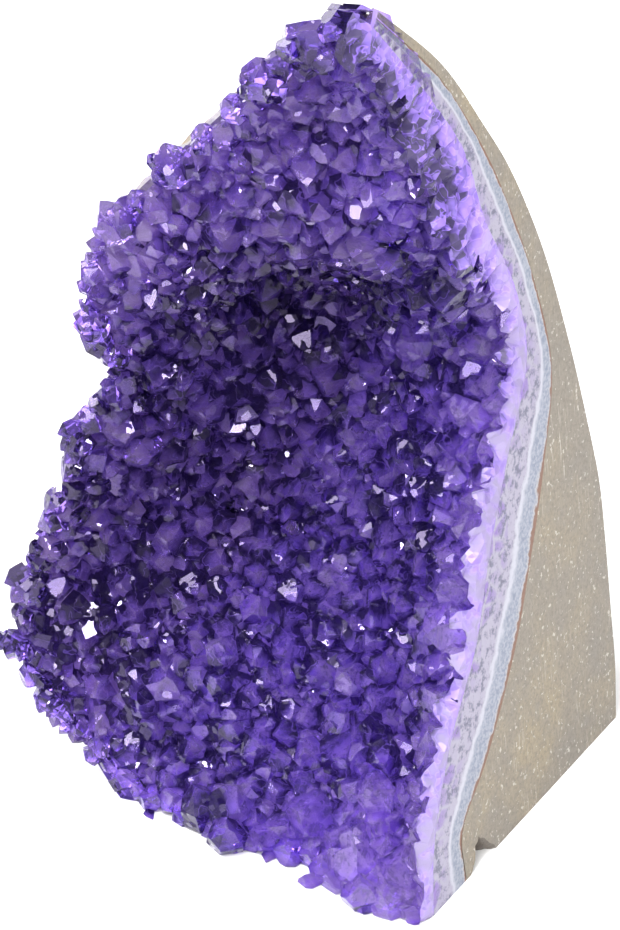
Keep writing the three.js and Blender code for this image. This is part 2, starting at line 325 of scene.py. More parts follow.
# The floor, the pale walls that grow dimmer upwards, the camera and how rays are followed
FLOOR_RADIUS = 0.95
FLOOR_CORNERS = 96
FLOOR_GRAIN = 300.0
FLOOR_TONES = ((0.0, (0.93, 0.93, 0.93)), (1.0, (0.96, 0.96, 0.96)))
FLOOR_ROUGHNESS = 0.8
WALL_STRENGTH = (("From Min", 0.2), ("From Max", 0.6), ("To Min", 1.0), ("To Max", 0.15))
LIGHTS_AIM = np.array((0, 0, 0.07))
CAMERA_PLACE = (0.29064, -0.44958, 0.39127)
CAMERA_AZIMUTH = math.radians(33)
CAMERA_ELEVATION = math.radians(32)
CAMERA_LENS = 140.31
CAMERA_FILM = 36
RAY_SETTINGS = (
    ("use_denoising", True), ("use_light_tree", False), ("max_bounces", 5), ("transmission_bounces", 4),
    ("glossy_bounces", 3), ("diffuse_bounces", 2), ("adaptive_threshold", 0.04), ("sample_clamp_indirect", 6),
    ("blur_glossy", 0.3),
)


def mix(a, b, t):
    """The value that lies the share t of the way from a to b."""
    return a + (b - a) * t


def unit(vectors):
    """Vectors brought to length one."""
    return vectors / np.linalg.norm(vectors, axis=-1, keepdims=True)


def smooth_step(low, high, values):
    """Zero up to low, one from high on and a smooth S between them. Where low is above high it falls: one up
    to high, zero from low on."""
    t = np.clip((values - low) / (high - low), 0, 1)
    return t * t * (3 - 2 * t)


def on_side(points):
    """Points of the sawn side from their distance back and their height."""
    back, height = np.array(points, float).T
    return np.stack((-SIDE_TAPER * back - SIDE_LEAN * height, back, height), axis=-1)


def on_base(points):
    """Points of the base plane from their x and y."""
    return np.array([(x, y, 0) for x, y in points], float)


def smooth_curve(points, t):
    """A curve through the points: each stretch is a cubic whose slope at a point is half the way from the
    point before it to the point after it. The parameter runs evenly from point to point."""
    last = len(points) - 1
    ends = np.vstack((2 * points[0] - points[1], points, 2 * points[-1] - points[-2]))
    place = np.clip(t, 0, 1) * last
    index = np.minimum(place.astype(int), last - 1)
    u = (place - index)[..., None]
    a, b, c, d = (ends[index + k] for k in range(4))
    square = 2 * a - 5 * b + 4 * c - d
    cube = 3 * b - a - 3 * c + d
    return 0.5 * (2 * b + (c - a) * u + square * u ** 2 + cube * u ** 3)


def rim(around, side, base, behind):
    """One closed rim: the sawn side from the base to the peak, the broken left edge down again and the base
    line. The left edge follows the seat's, shifted behind it, and bends to its own ends."""
    side_points = on_side(side)
    base_points = on_base(base)
    seat_peak = on_side(SEAT_SIDE)[-1]
    seat_foot = on_base(SEAT_BASE)[0]
    step = np.asarray(around, float) * AROUND_STEPS
    left_t = (step - SIDE_STEPS) / LEFT_STEPS
    at_peak = np.maximum(0, 1 - left_t / EDGE_BLEND)[..., None] ** 2
    at_foot = np.maximum(0, 1 - (1 - left_t) / EDGE_BLEND)[..., None] ** 2
    left = smooth_curve(np.vstack((seat_peak, np.array(SEAT_LEFT, float), seat_foot)), left_t)
    left = left + behind * (1 - at_peak) * (1 - at_foot)
    left = left + (side_points[-1] - seat_peak) * at_peak + (base_points[0] - seat_foot) * at_foot
    base_t = (step - SIDE_STEPS - LEFT_STEPS) / BASE_STEPS
    below = smooth_curve(np.vstack((base_points, side_points[0])), base_t)
    beside = smooth_curve(side_points, step / SIDE_STEPS)
    on_left = (step <= SIDE_STEPS + LEFT_STEPS)[..., None]
    return np.where((step <= SIDE_STEPS)[..., None], beside, np.where(on_left, left, below))


def seat_rim(around):
    """The rim of the crystals' seat."""
    return rim(around, SEAT_SIDE, SEAT_BASE, np.zeros(3))


def rock_rim(around):
    """The rim between the rind and the rock."""
    return rim(around, ROCK_SIDE, ROCK_BASE, ROCK_BEHIND_SEAT)


def back_rim(around):
    """The back's rim, drawn in where the rock thins out beside the peak."""
    beyond = around - PEAK
    thin = smooth_step(*THINNING_START, beyond) * smooth_step(*THINNING_END, beyond)
    return rim(around, BACK_SIDE, BACK_BASE, BACK_BEHIND_SEAT) + PEAK_THINNING * thin[..., None]


def towards_front(points):
    """Ways of length one from points to a place in front of the geode."""
    return unit(FACING_POINT - points)


def seat(reach, around):
    """The crystals' seat: straight lines from the hollow's middle to the rim, pressed back into a bowl that
    is flat in the middle and steep at the rim, with bell-shaped swellings raised on it."""
    edge = seat_rim(around)
    share = np.asarray(reach, float)[..., None]
    points = mix(HOLLOW_MIDDLE, edge, share)
    points[..., 1] = mix(HOLLOW_MIDDLE[1], edge[..., 1], reach ** HOLLOW_FLATNESS)
    front = towards_front(points)
    fade = 1 - share ** SWELLING_FADE
    for at, radius, height in SWELLINGS:
        distance = np.sum((points - at) ** 2, axis=-1, keepdims=True)
        points = points + front * height * np.exp(-distance / radius ** 2) * fade
    return points


def rind_way(reach, around):
    """The way from the seat to the rock: along the rim's own wall at the edge, straight back elsewhere."""
    wall = rock_rim(around) - seat_rim(around)
    straight = -RIND_THICKNESS * towards_front(seat(reach, around))
    return mix(straight, wall, np.asarray(reach, float)[..., None] ** WALL_TURN)


def behind_seat(reach, around, offset):
    """The seat moved towards the rock by an offset, or to the front by one below zero."""
    return seat(reach, around) + unit(rind_way(reach, around)) * offset


def behind_rock_face(reach, around, offset):
    """The face between the rind and the rock, moved back by an offset. Away from the rim it is drawn forward,
    where nobody sees it, so that the rock is thick enough for its relief."""
    way = rind_way(reach, around)
    length = np.linalg.norm(way, axis=-1, keepdims=True)
    drawn = ROCK_THICKENING * (1 - np.minimum(reach, 1)[..., None] ** THICKENING_FADE)
    return seat(reach, around) + way * (length + offset - drawn) / length


def crust_front(reach, around):
    """The bed of the crystals: a crust's thickness in front of the seat, thinner towards the saw cuts."""
    thin = np.asarray(reach, float) ** SAWN_THINNING * (1 - on_left_edge(around))
    thickness = mix(CRUST_THICKNESS, SAWN_THICKNESS, np.minimum(thin, 1))
    return behind_seat(reach, around, -thickness[..., None])


def on_left_edge(around):
    """One along the broken left edge, zero along the sawn side and the base, with a smooth step between."""
    return smooth_step(PEAK, PEAK + EDGE_STEP, around) * smooth_step(FOOT, FOOT - EDGE_STEP, around)


def brim(around):
    """How far the bed of the crystals is carried outwards: past the saw cuts, and just short of the broken
    edge."""
    return mix(SAWN_BRIM, BROKEN_BRIM, on_left_edge(around))


def rough_back(reach, around):
    """The back: straight lines from its middle to the rim, bulged outwards and covered in low waves."""
    share = np.asarray(reach, float)[..., None]
    points = mix(BACK_MIDDLE, back_rim(around), share) + BACK_BULGE * (1 - share ** 2)
    fade = 1 - reach ** LUMP_FADE
    for across, up, shift in LUMP_WAVES:
        wave = np.sin((across * points[..., 0] + up * points[..., 2] + shift) / LUMP_LENGTH)
        points[..., 1] += LUMP_HEIGHT * fade * wave
    return points


def lattice_noise(points, grain, seed):
    """Noise from -1 to 1: a scrambled number at each corner of a cubic lattice with the given spacing, and
    between them a smooth blend of the eight corners around a point."""
    place = points / grain
    cell = np.floor(place).astype(np.int64)
    blend = place - cell
    blend = blend * blend * (3 - 2 * blend)
    total = np.zeros(points.shape[:-1])
    for corner in itertools.product((0, 1), repeat=3):
        key = (cell + corner) @ PLACE_FACTORS + seed * SEED_FACTOR
        for shift, factor in SCRAMBLES:
            key = ((key ^ (key >> shift)) * factor) & KEY_BITS
        weight = np.prod(np.where(np.array(corner) == 1, blend, 1 - blend), axis=-1)
        total += weight * ((key >> 8 & LOW_BITS) / (LOW_BITS / 2) - 1)
    return total


def rough_noise(points, grain, octaves, seed):
    """Several lattice noises on each other, each at half the spacing and about half the height."""
    return sum(lattice_noise(points, grain * 0.5 ** k, seed + k) * NOISE_FALL ** k for k in range(octaves))


def broken_relief(points, seed):
    """Heights of broken rock, about -1.5 to 1.5. Chips are tilted planes about scattered centres: a point is
    on the plane of its nearest centre, with a narrow blend to the next. Rough noise and pits lie on them."""
    spots = points.reshape(-1, 3)
    chance = number_stream(seed, CHIP_DRAWS * CHIP_COUNT).reshape(-1, CHIP_DRAWS)
    centre = mix(np.array(CHIP_BOX[0], float), np.array(CHIP_BOX[1], float), chance[:, :3])
    slope = CHIP_SLOPE * (chance[:, 3:6] - 0.5)
    apart = np.sum(centre ** 2, axis=1) - 2 * spots @ centre.T
    weight = np.exp((apart.min(axis=1, keepdims=True) - apart) / CHIP_BLEND)
    plane = chance[:, 6] - 0.5 + spots @ slope.T - np.sum(centre * slope, axis=1)
    chips = np.sum(weight * plane, axis=1) / np.sum(weight, axis=1)
    pits = smooth_step(*PIT_EDGE, lattice_noise(spots, PIT_SIZE, seed + PIT_SEED))
    relief = chips + GRAIN_HEIGHT * rough_noise(spots, GRAIN_SIZE, GRAIN_OCTAVES, seed) - PIT_DEPTH * pits
    return relief.reshape(points.shape[:-1])


def nearest_distance(rings, others):
    """How far each point lies from the nearest of some other points, worked out ring by ring."""
    spots = others.reshape(-1, 3)
    square = np.sum(spots ** 2, axis=1)
    apart = [np.min(square - 2 * ring @ spots.T, axis=1) + np.sum(ring ** 2, axis=1) for ring in rings]
    return np.sqrt(np.maximum(np.stack(apart), 0))


def flat_ways(points, ways):
    """Ways with the parts taken out that would lift a point off the sawn side or off the base."""
    off_side = points @ SIDE_NORMAL
    near_side = 1 - smooth_step(*FLAT_MARGIN, -off_side)
    ways = ways - (ways @ SIDE_NORMAL * near_side)[..., None] * SIDE_NORMAL
    near_base = 1 - smooth_step(*FLAT_MARGIN, points[..., 2])
    upright = np.array((0, 0, 1.0))
    return ways - (ways @ upright * near_base)[..., None] * upright


def ring_grid(around_count, ring_count):
    """Index arrays for a closed surface of rings between two poles: a pole, the rings, a pole."""
    ring = np.arange(ring_count - 1)[:, None] * around_count + 1
    here = np.arange(around_count)[None, :]
    there = (here + 1) % around_count
    quads = np.stack((ring + here, ring + there, ring + around_count + there, ring + around_count + here), -1)
    last = ring_count * around_count + 1
    first_ring = 1 + here[0]
    last_ring = 1 + (ring_count - 1) * around_count + here[0]
    start = np.stack((np.zeros_like(first_ring), 1 + there[0], first_ring), -1)
    end_next = 1 + (ring_count - 1) * around_count + there[0]
    end = np.stack((np.full_like(last_ring, last), last_ring, end_next), -1)
    return start, quads.reshape(-1, 4), end


def closed_surface(rings, start_pole, end_pole):
    """Vertices and faces of a closed surface from its rings, turned so that the faces point outwards."""
    ring_count, around_count = rings.shape[:2]
    start, quads, end = ring_grid(around_count, ring_count)
    vertices = np.vstack((start_pole, rings.reshape(-1, 3), end_pole))
    middle = vertices.mean(axis=0)
    a, b, c = (vertices[quads[:, k]] - middle for k in (0, 1, 2))
    if np.einsum("ij,ij->i", a, np.cross(b, c)).sum() < 0:
        start, quads, end = start[:, ::-1], quads[:, ::-1], end[:, ::-1]
    return vertices, start.tolist() + quads.tolist() + end.tolist()


def new_piece(name, vertices, faces):
    """A mesh object in the shared frame from vertices in the corner frame."""
    mesh = bpy.data.meshes.new(name)
    mesh.from_pydata(((vertices + CORNER) * MM).tolist(), [], faces)
    mesh.update()
    piece = bpy.data.objects.new(name, mesh)
    bpy.context.scene.collection.objects.link(piece)
    return piece


def set_attribute(mesh, name, domain, values):
    """Stores one number for each vertex, face or face corner of a mesh."""
    attribute = mesh.attributes.new(name, "FLOAT", domain)
    attribute.data.foreach_set("value", np.ascontiguousarray(values, dtype=np.float32).ravel())


def corner_vertices(mesh):
    """The number of the vertex at each face corner of a mesh."""
    index = np.empty(len(mesh.loops), dtype=np.int32)
    mesh.loops.foreach_get("vertex_index", index)
    return index


def join_solids(piece, others, operation):
    """Joins solids to a piece, or cuts them out of it, and takes the others away."""
    for other in others:
        step = piece.modifiers.new("step", "BOOLEAN")
        step.operation = operation
        step.solver = "MANIFOLD"
        step.object = other
    graph = bpy.context.evaluated_depsgraph_get()
    joined = bpy.data.meshes.new_from_object(piece.evaluated_get(graph))
    piece.modifiers.clear()
    old = piece.data
    piece.data = joined
    bpy.data.meshes.remove(old)
    for other in others:
        bpy.data.meshes.remove(other.data)


def keep_largest(mesh):
    """Takes crumbs and closed pockets out of a mesh: each vertex takes the lowest number along its edges
    until nothing changes, and only the faces of the commonest number stay."""
    edges = np.empty(len(mesh.edges) * 2, dtype=np.int32)
    mesh.edges.foreach_get("vertices", edges)
    first, second = edges.reshape(-1, 2).T
    label = np.arange(len(mesh.vertices))
    while True:
        lower = label.copy()
        np.minimum.at(lower, first, label[second])
        np.minimum.at(lower, second, label[first])
        lower = lower[lower]
        if np.array_equal(lower, label):
            break
        label = lower
    crumbs = np.flatnonzero(label != np.bincount(label).argmax())
    work = bmesh.new()
    work.from_mesh(mesh)
    work.verts.ensure_lookup_table()
    bmesh.ops.delete(work, geom=[work.verts[index] for index in crumbs], context="VERTS")
    work.to_mesh(mesh)
    work.free()


def block_beyond(point, normal, size):
    """A block that lies against a plane on the side that its normal points to."""
    side = unit(np.cross(normal, BLOCK_ASIDE))
    third = np.cross(normal, side)
    corners = np.array(list(itertools.product((-1, 1), (-1, 1), (0, 2))), float) * size / 2
    vertices = point + corners @ np.array((side, third, normal))
    faces = [(0, 1, 3, 2), (4, 6, 7, 5), (0, 4, 5, 1), (2, 3, 7, 6), (0, 2, 6, 4), (1, 5, 7, 3)]
    middle = vertices.mean(axis=0)
    a, b, c = (vertices[list(faces[0])[k]] - middle for k in range(3))
    if np.dot(a, np.cross(b, c)) < 0:
        faces = [face[::-1] for face in faces]
    return new_piece("block", vertices, faces)


def side_saw(pace, depth):
    """The block that the saw takes off the sawn side: a grid on the side's plane, a copy of it further out
    and a wall around them."""
    back = np.arange(*SAW_BACK, pace)
    height = np.arange(*SAW_HEIGHT, pace)
    rows, columns = len(back), len(height)
    spots = np.stack(np.meshgrid(back, height, indexing="ij"), axis=-1).reshape(-1, 2)
    near = on_side(spots)
    vertices = np.vstack((near, near + SIDE_NORMAL * depth))
    index = np.arange(rows * columns).reshape(rows, columns)
    quads = np.stack((index[:-1, :-1], index[:-1, 1:], index[1:, 1:], index[1:, :-1]), axis=-1).reshape(-1, 4)
    edge = np.concatenate((index[0, :-1], index[:-1, -1], index[-1, :0:-1], index[:0:-1, 0]))
    ahead = np.roll(edge, -1)
    shift = rows * columns
    wall = np.stack((edge, edge + shift, ahead + shift, ahead), axis=-1)
    faces = np.vstack((quads, quads[:, ::-1] + shift, wall))
    return vertices, faces, spots


def ahead_of_seat(spots):
    """How far points of the sawn side lie in front of the crystals' seat, behind it below zero: the distance
    to the nearest point of the seat's line, signed by the side of that line on which a point lies."""
    line = smooth_curve(np.array(SEAT_SIDE, float), np.linspace(0, 1, SEAT_LINE_POINTS))
    way = spots[:, None] - line[None]
    near = np.argmin(np.sum(way ** 2, axis=-1), axis=1)
    slope = np.gradient(line, axis=0)[near]
    nearest = way[np.arange(len(spots)), near]
    cross = slope[:, 0] * nearest[:, 1] - slope[:, 1] * nearest[:, 0]
    return np.sign(cross) * np.linalg.norm(nearest, axis=1)


def number_stream(seed, count):
    """Repeatable numbers from 0 to 1: each state is the last one times a factor, plus a step, in 32 bits."""
    values = np.empty(count)
    state = seed
    for index in range(count):
        state = (state * STREAM_FACTOR + STREAM_STEP) % STREAM_SIZE
        values[index] = state / STREAM_SIZE
    return values


def keep_apart(at, radius, spacing, limit, earlier_at, earlier_radius):
    """Indices of the places, taken in turn, that stand clear of the earlier ones and of each other."""
    room = len(earlier_at) + limit
    kept_at = np.empty((room, 3))
    kept_radius = np.empty(room)
    filled = len(earlier_at)
    kept_at[:filled] = earlier_at
    kept_radius[:filled] = earlier_radius
    kept = []
    for index in range(len(at)):
        if filled == room:
            break
        gap = np.linalg.norm(kept_at[:filled] - at[index], axis=1)
        if np.any(gap < spacing * 0.5 * (kept_radius[:filled] + radius[index])):
            continue
        kept_at[filled] = at[index]
        kept_radius[filled] = radius[index]
        filled += 1
        kept.append(index)
    return np.array(kept, dtype=int)


def sow_crystals(form):
    """Places, axes, radii and turns of the crystals: first the main ones, then smaller ones in the gaps."""
    tries = MAIN_TRIES + form.small_tries
    draws = number_stream(SEED, CRYSTAL_DRAWS * tries).reshape(-1, CRYSTAL_DRAWS)
    reach = np.sqrt(draws[:, 0])
    around = draws[:, 1].copy()
    size = draws[:, 2] ** 2
    reach[:len(LEADERS)], around[:len(LEADERS)], size[:len(LEADERS)] = np.array(LEADERS).T
    at = behind_seat(reach, around, -CRUST_THICKNESS)
    growth = 1 + CORNER_GROWTH * np.exp(-np.sum(at ** 2, axis=1) / CORNER_REACH ** 2)
    small = np.arange(tries) >= MAIN_TRIES
    low = np.where(small, form.small_radius / MM, MAIN_RADIUS[0])
    high = np.where(small, form.middle_radius / MM, MAIN_RADIUS[1])
    radius = mix(low, high, size) * growth
    main = keep_apart(
        at[:MAIN_TRIES], radius[:MAIN_TRIES], MAIN_SPACING, MAIN_COUNT, np.empty((0, 3)), np.empty(0)
    )
    order = MAIN_TRIES + np.argsort(-radius[MAIN_TRIES:], kind="stable")
    fill = keep_apart(at[order], radius[order], form.small_spacing, form.small_count, at[main], radius[main])
    fill = order[fill]
    flare = at - HOLLOW_MIDDLE
    flare[:, 1] = 0
    tilt = np.where(small, form.small_tilt, CRYSTAL_TILT)[:, None]
    lean = mix(-SAWN_LEAN, RIM_FLARE, on_left_edge(around)) * reach ** RIM_FLARE_START
    axis = towards_front(at) + unit(flare) * lean[:, None]
    axis = unit(axis + 2 * tilt * (draws[:, 3:6] - 0.5))
    at = crust_front(reach, around)
    turn = turned_frames(axis, draws[:, 5] * math.pi)
    fine = form.fine_share + (form.coarse_share - form.fine_share) * smooth_step(*WIDTH_PLACES, at[:, 0])
    short = 1 - EDGE_SHORTENING * on_left_edge(around) * smooth_step(EDGE_START, 1, reach)
    bunch = bunches(at[main], turn[main], radius[main] * short[main], fine[main], draws[main, 3:6], form)
    single = {
        "at": np.concatenate((at[main], at[fill])),
        "turn": np.concatenate((turn[main], turn[fill])),
        "size": np.concatenate((radius[main] * fine[main], radius[fill] * form.small_share)),
        "height": np.concatenate((radius[main] * short[main], radius[fill] * short[fill])) * POINT_RATIO,
        "chance": np.concatenate((draws[main, 3:6], draws[fill, 3:6])),
    }
    return {name: np.concatenate((single[name], bunch[name])) for name in single}


def peak_crystals():
    """The crystals that stand on the peak, from their places around, radii and heights: they point up and a
    little forwards."""
    around, radius, height, aside = np.array(PEAK_CRYSTALS).T
    axis = unit(np.stack((aside, np.full(len(aside), PEAK_LEAN), np.ones(len(aside))), axis=-1))
    return {
        "at": seat_rim(around) + PEAK_SHIFT,
        "turn": turned_frames(axis, PEAK_SPIN * around),
        "size": radius,
        "height": height,
        "chance": np.stack([factor * around % 1 for factor in PEAK_SCRAMBLES], axis=-1),
    }


def turned_frames(axis, spin):
    """Three axes for each crystal, as rows: two across it, turned by its spin, and its own axis."""
    aside = unit(np.cross(axis, CRYSTAL_ASIDE))
    across = np.cross(axis, aside)
    east = np.cos(spin)[:, None] * aside + np.sin(spin)[:, None] * across
    return np.stack((east, np.cross(axis, east), axis), axis=1)


def bunches(at, turn, radius, share, chance, form):
    """The side crystals of each main crystal: a ring of smaller points around it that lean outwards, at
    nearly even steps of the turn, each with its own distance, size and height."""
    count = form.side_count
    step = np.arange(count)[None, :] + chance[:, :1]
    vary = np.outer(chance[:, 1], BUNCH_SCRAMBLE * np.arange(1, count + 1)) % 1
    angle = 2 * math.pi * (step + BUNCH_TWIST * vary) / count
    out = np.cos(angle)[..., None] * turn[:, None, 0] + np.sin(angle)[..., None] * turn[:, None, 1]
    size = radius[:, None] * share[:, None] * (BUNCH_SIZE[0] + BUNCH_SIZE[1] * vary)
    away = radius[:, None] * (BUNCH_DISTANCE[0] + BUNCH_DISTANCE[1] * vary)
    place = at[:, None] + out * away[..., None] - turn[:, None, 2] * (BUNCH_SINK * radius)[:, None, None]
    axis = unit(turn[:, None, 2] + out * (BUNCH_LEAN[0] + BUNCH_LEAN[1] * (1 - vary))[..., None])
    height = np.minimum(radius[:, None] * BUNCH_TALLEST, size * (BUNCH_HEIGHT[0] + BUNCH_HEIGHT[1] * vary))
    spin = angle * BUNCH_SPIN
    fresh = np.stack((vary, *((own * vary + turned * step) % 1 for own, turned in BUNCH_CHANCES)), axis=-1)
    return {
        "at": place.reshape(-1, 3),
        "turn": turned_frames(axis.reshape(-1, 3), spin.ravel()),
        "size": size.ravel(),
        "height": height.ravel(),
        "chance": fresh.reshape(-1, 3),
    }


def quartz_point(chance):
    """Vertices and faces of one quartz point: a block cut by six prism faces and six end faces. Three of
    the end faces, every second one, lie nearer and so grow larger, and all distances vary a little."""
    solid = bmesh.new()
    bmesh.ops.create_cube(solid, size=START_BLOCK)
    bmesh.ops.translate(solid, verts=solid.verts, vec=(0, 0, START_BLOCK / 2 - ROOT_DEPTH))
    for index in range(PRISM_SIDES):
        turn = math.radians(360 / PRISM_SIDES * index)
        flat = (math.cos(turn), math.sin(turn), 0)
        cut_away(solid, flat, 1 + PRISM_SPREAD * (chance[index] - 0.5))
        end = math.cos(END_FACE_TILT)
        slope = (end * flat[0], end * flat[1], math.sin(END_FACE_TILT))
        spread = FAR_ENDS[0] + FAR_ENDS[1] * chance[PRISM_SIDES + index]
        if index % 2:
            spread = NEAR_ENDS[0] * (chance[PRISM_SIDES + index] - NEAR_ENDS[1])
        cut_away(solid, slope, TIP_HEIGHT * math.sin(END_FACE_TILT) * (1 + spread))
    bmesh.ops.remove_doubles(solid, verts=solid.verts, dist=MERGE_DISTANCE)
    bmesh.ops.recalc_face_normals(solid, faces=solid.faces)
    solid.verts.index_update()
    vertices = np.array([vertex.co for vertex in solid.verts])
    vertices[vertices[:, 2] > 0, 2] *= TIP_HEIGHT / vertices[:, 2].max()
    faces = [[vertex.index for vertex in face.verts] for face in solid.faces]
    solid.free()
    return vertices, faces


def cut_away(solid, normal, distance):
    """Cuts off what lies beyond a plane and closes the cut."""
    everything = solid.verts[:] + solid.edges[:] + solid.faces[:]
    spot = [part * distance for part in normal]
    cut = bmesh.ops.bisect_plane(
        solid, geom=everything, dist=CUT_TOLERANCE, plane_co=spot, plane_no=normal, clear_outer=True
    )
    edges = [part for part in cut["geom_cut"] if isinstance(part, bmesh.types.BMEdge)]
    if edges:
        bmesh.ops.holes_fill(solid, edges=edges)


def groups_apart(centre, reach):
    """A group number for each crystal, so that no two crystals of a group touch: each takes the lowest
    number that no earlier crystal within reach has."""
    group = np.zeros(len(centre), dtype=int)
    for index in range(1, len(centre)):
        near = np.linalg.norm(centre[:index] - centre[index], axis=1) < reach[:index] + reach[index]
        taken = np.unique(group[:index][near])
        free = np.setdiff1d(np.arange(len(taken) + 1), taken)
        group[index] = free[0]
    return group


def bell(points, middle, radius):
    """One at a point, and less and less around it: e to the power of minus the square of the distance in
    radii."""
    return np.exp(-np.sum((points - np.array(middle)) ** 2, axis=-1) / radius ** 2)


def colour_and_shade_depth(points):
    """How deep the amethyst's colour is at a point, from 0, clear, to 1: pale along the sawn side, the broken
    edge and round the front corner, painted light on the upper swellings and painted shade under them, deep
    in the hollow."""
    off_side = -(points @ SIDE_NORMAL)
    height = points[..., 2]
    pale = SIDE_DEPTH + SIDE_DEPTH_RISE * smooth_step(*SIDE_DEPTH_HEIGHTS, height)
    depth = mix(pale, HOLLOW_DEPTH, smooth_step(*SIDE_DEPTH_REACH, off_side))
    depth = depth + PEAK_DEPTH * smooth_step(*PEAK_DEPTH_HEIGHTS, height)
    edge = smooth_curve(np.array(SEAT_LEFT, float), np.linspace(0, 1, EDGE_POINTS))
    gap = np.linalg.norm(points[..., None, :] - edge, axis=-1).min(axis=-1)
    depth = depth - EDGE_PALLOR * np.exp(-(gap / PALLOR_REACH) ** 2)
    depth = depth - BASE_PALLOR * np.exp(-(height / PALLOR_REACH) ** 2)
    for middle, radius, change in SHADE_LIGHT_AND_COLOUR_PATCHES:
        depth = depth + change * bell(points, middle, radius)
    return np.clip(depth, 0, 1)


def crystal_group(name, crystals, members, kinds, kind_of):
    """One object of crystals that don't touch: each quartz point is scaled by its radius, stretched to its
    height, turned onto its own axes and moved to its place, for all crystals of a kind at once."""
    vertices, faces, depth, tone = [], [], [], []
    count = 0
    for number, (shape, sides) in enumerate(kinds):
        chosen = members[kind_of[members] == number]
        if not len(chosen):
            continue
        size = crystals["size"][chosen]
        stretch = crystals["height"][chosen] - TIP_HEIGHT * size
        scaled = shape[None] * size[:, None, None]
        scaled[..., 2] += np.where(shape[:, 2] > 0, stretch[:, None], 0)
        placed = np.einsum("nvk,nkj->nvj", scaled, crystals["turn"][chosen])
        placed = placed + crystals["at"][chosen][:, None, :]
        tip = np.clip(shape[:, 2] / TIP_HEIGHT, 0, 1)
        # Painted shade and light: the colour is deeper at a crystal's root, among the gaps between crystals,
        # and paler towards its tip; the spread by crystal is its own tone
        lift = ROOT_SHADE - TIP_LIGHT * tip[None, :] ** TIP_BEND
        lift = lift + CRYSTAL_SPREAD * (crystals["chance"][chosen, :1] - 0.5)
        depth.append(np.clip(colour_and_shade_depth(placed) + lift, 0, 1).ravel())
        vertices.append(placed.reshape(-1, 3))
        for crystal in range(len(chosen)):
            start = count + crystal * len(shape)
            faces.extend([start + index for index in side] for side in sides)
        chance = crystals["chance"][chosen, 1:2]
        facet = (FACET_SCRAMBLES[0] * chance + FACET_SCRAMBLES[1] * np.arange(len(sides))) % 1
        tone.append(mix(crystals["chance"][chosen, 2:3], facet, FACET_SHARE).ravel())
        count += len(chosen) * len(shape)
    piece = new_piece(name, np.vstack(vertices), faces)
    set_attribute(piece.data, "depth", "CORNER", np.concatenate(depth)[corner_vertices(piece.data)])
    set_attribute(piece.data, "tone", "FACE", np.concatenate(tone))
    set_attribute(piece.data, "sawn", "FACE", np.zeros(len(faces)))
    return piece


def shell_between(front_level, back_level, around_count, face_rings, wall_rings):
    """Rings of a closed layer: its front face from the middle to the rim, its wall and its back face."""
    around = np.arange(around_count) / around_count
    reach = np.arange(1, face_rings + 1)[:, None] / face_rings
    spread = np.broadcast_to(around, (face_rings, around_count))
    reach = np.broadcast_to(reach, spread.shape)
    front = front_level(reach, spread)
    back = back_level(reach, spread)[::-1]
    share = (np.arange(1, wall_rings) / wall_rings)[:, None, None]
    wall = mix(front[-1], back[0], share)
    middle = np.zeros(1)
    return np.concatenate((front, wall, back)), front_level(middle, middle)[0], back_level(middle, middle)[0]


class GeodeForm(bpy.types.PropertyGroup):
    """Sizes of the geode's surfaces and crystals."""

    small_tries: bpy.props.IntProperty(
        name="Tries", description="How many places are tried for the smaller crystals", default=12000
    )
    small_count: bpy.props.IntProperty(
        name="Smaller crystals", description="The most smaller crystals that are kept", default=1200
    )
    small_radius: bpy.props.FloatProperty(
        name="Smallest crystal", description="Radius of the smallest crystals", default=0.0017, unit="LENGTH"
    )
    middle_radius: bpy.props.FloatProperty(
        name="Middling crystal", description="Radius of the largest filling crystals", default=0.0040,
        unit="LENGTH"
    )
    small_spacing: bpy.props.FloatProperty(
        name="Spacing", description="Least distance of two crystals, in their mean radii", default=0.82
    )
    small_share: bpy.props.FloatProperty(
        name="Filling width", description="Width of the filling crystals against their radius", default=0.64
    )
    fine_share: bpy.props.FloatProperty(
        name="Fine width", description="Width of the main crystals at the left", default=0.52
    )
    coarse_share: bpy.props.FloatProperty(
        name="Coarse width", description="Width of the main crystals at the right", default=0.66
    )
    side_count: bpy.props.IntProperty(
        name="Side crystals", description="Smaller points around each main crystal", default=4
    )
    small_tilt: bpy.props.FloatProperty(
        name="Tilt", description="How far the smaller crystals lean at random", default=0.55
    )
    rock_height: bpy.props.FloatProperty(
        name="Rock roughness", description="Height of the chips of the broken rock", default=0.0015,
        unit="LENGTH"
    )


def stone_colour(name, description, default):
    """A colour that a user can change."""
    return bpy.props.FloatVectorProperty(name=name, description=description, subtype="COLOR", default=default)


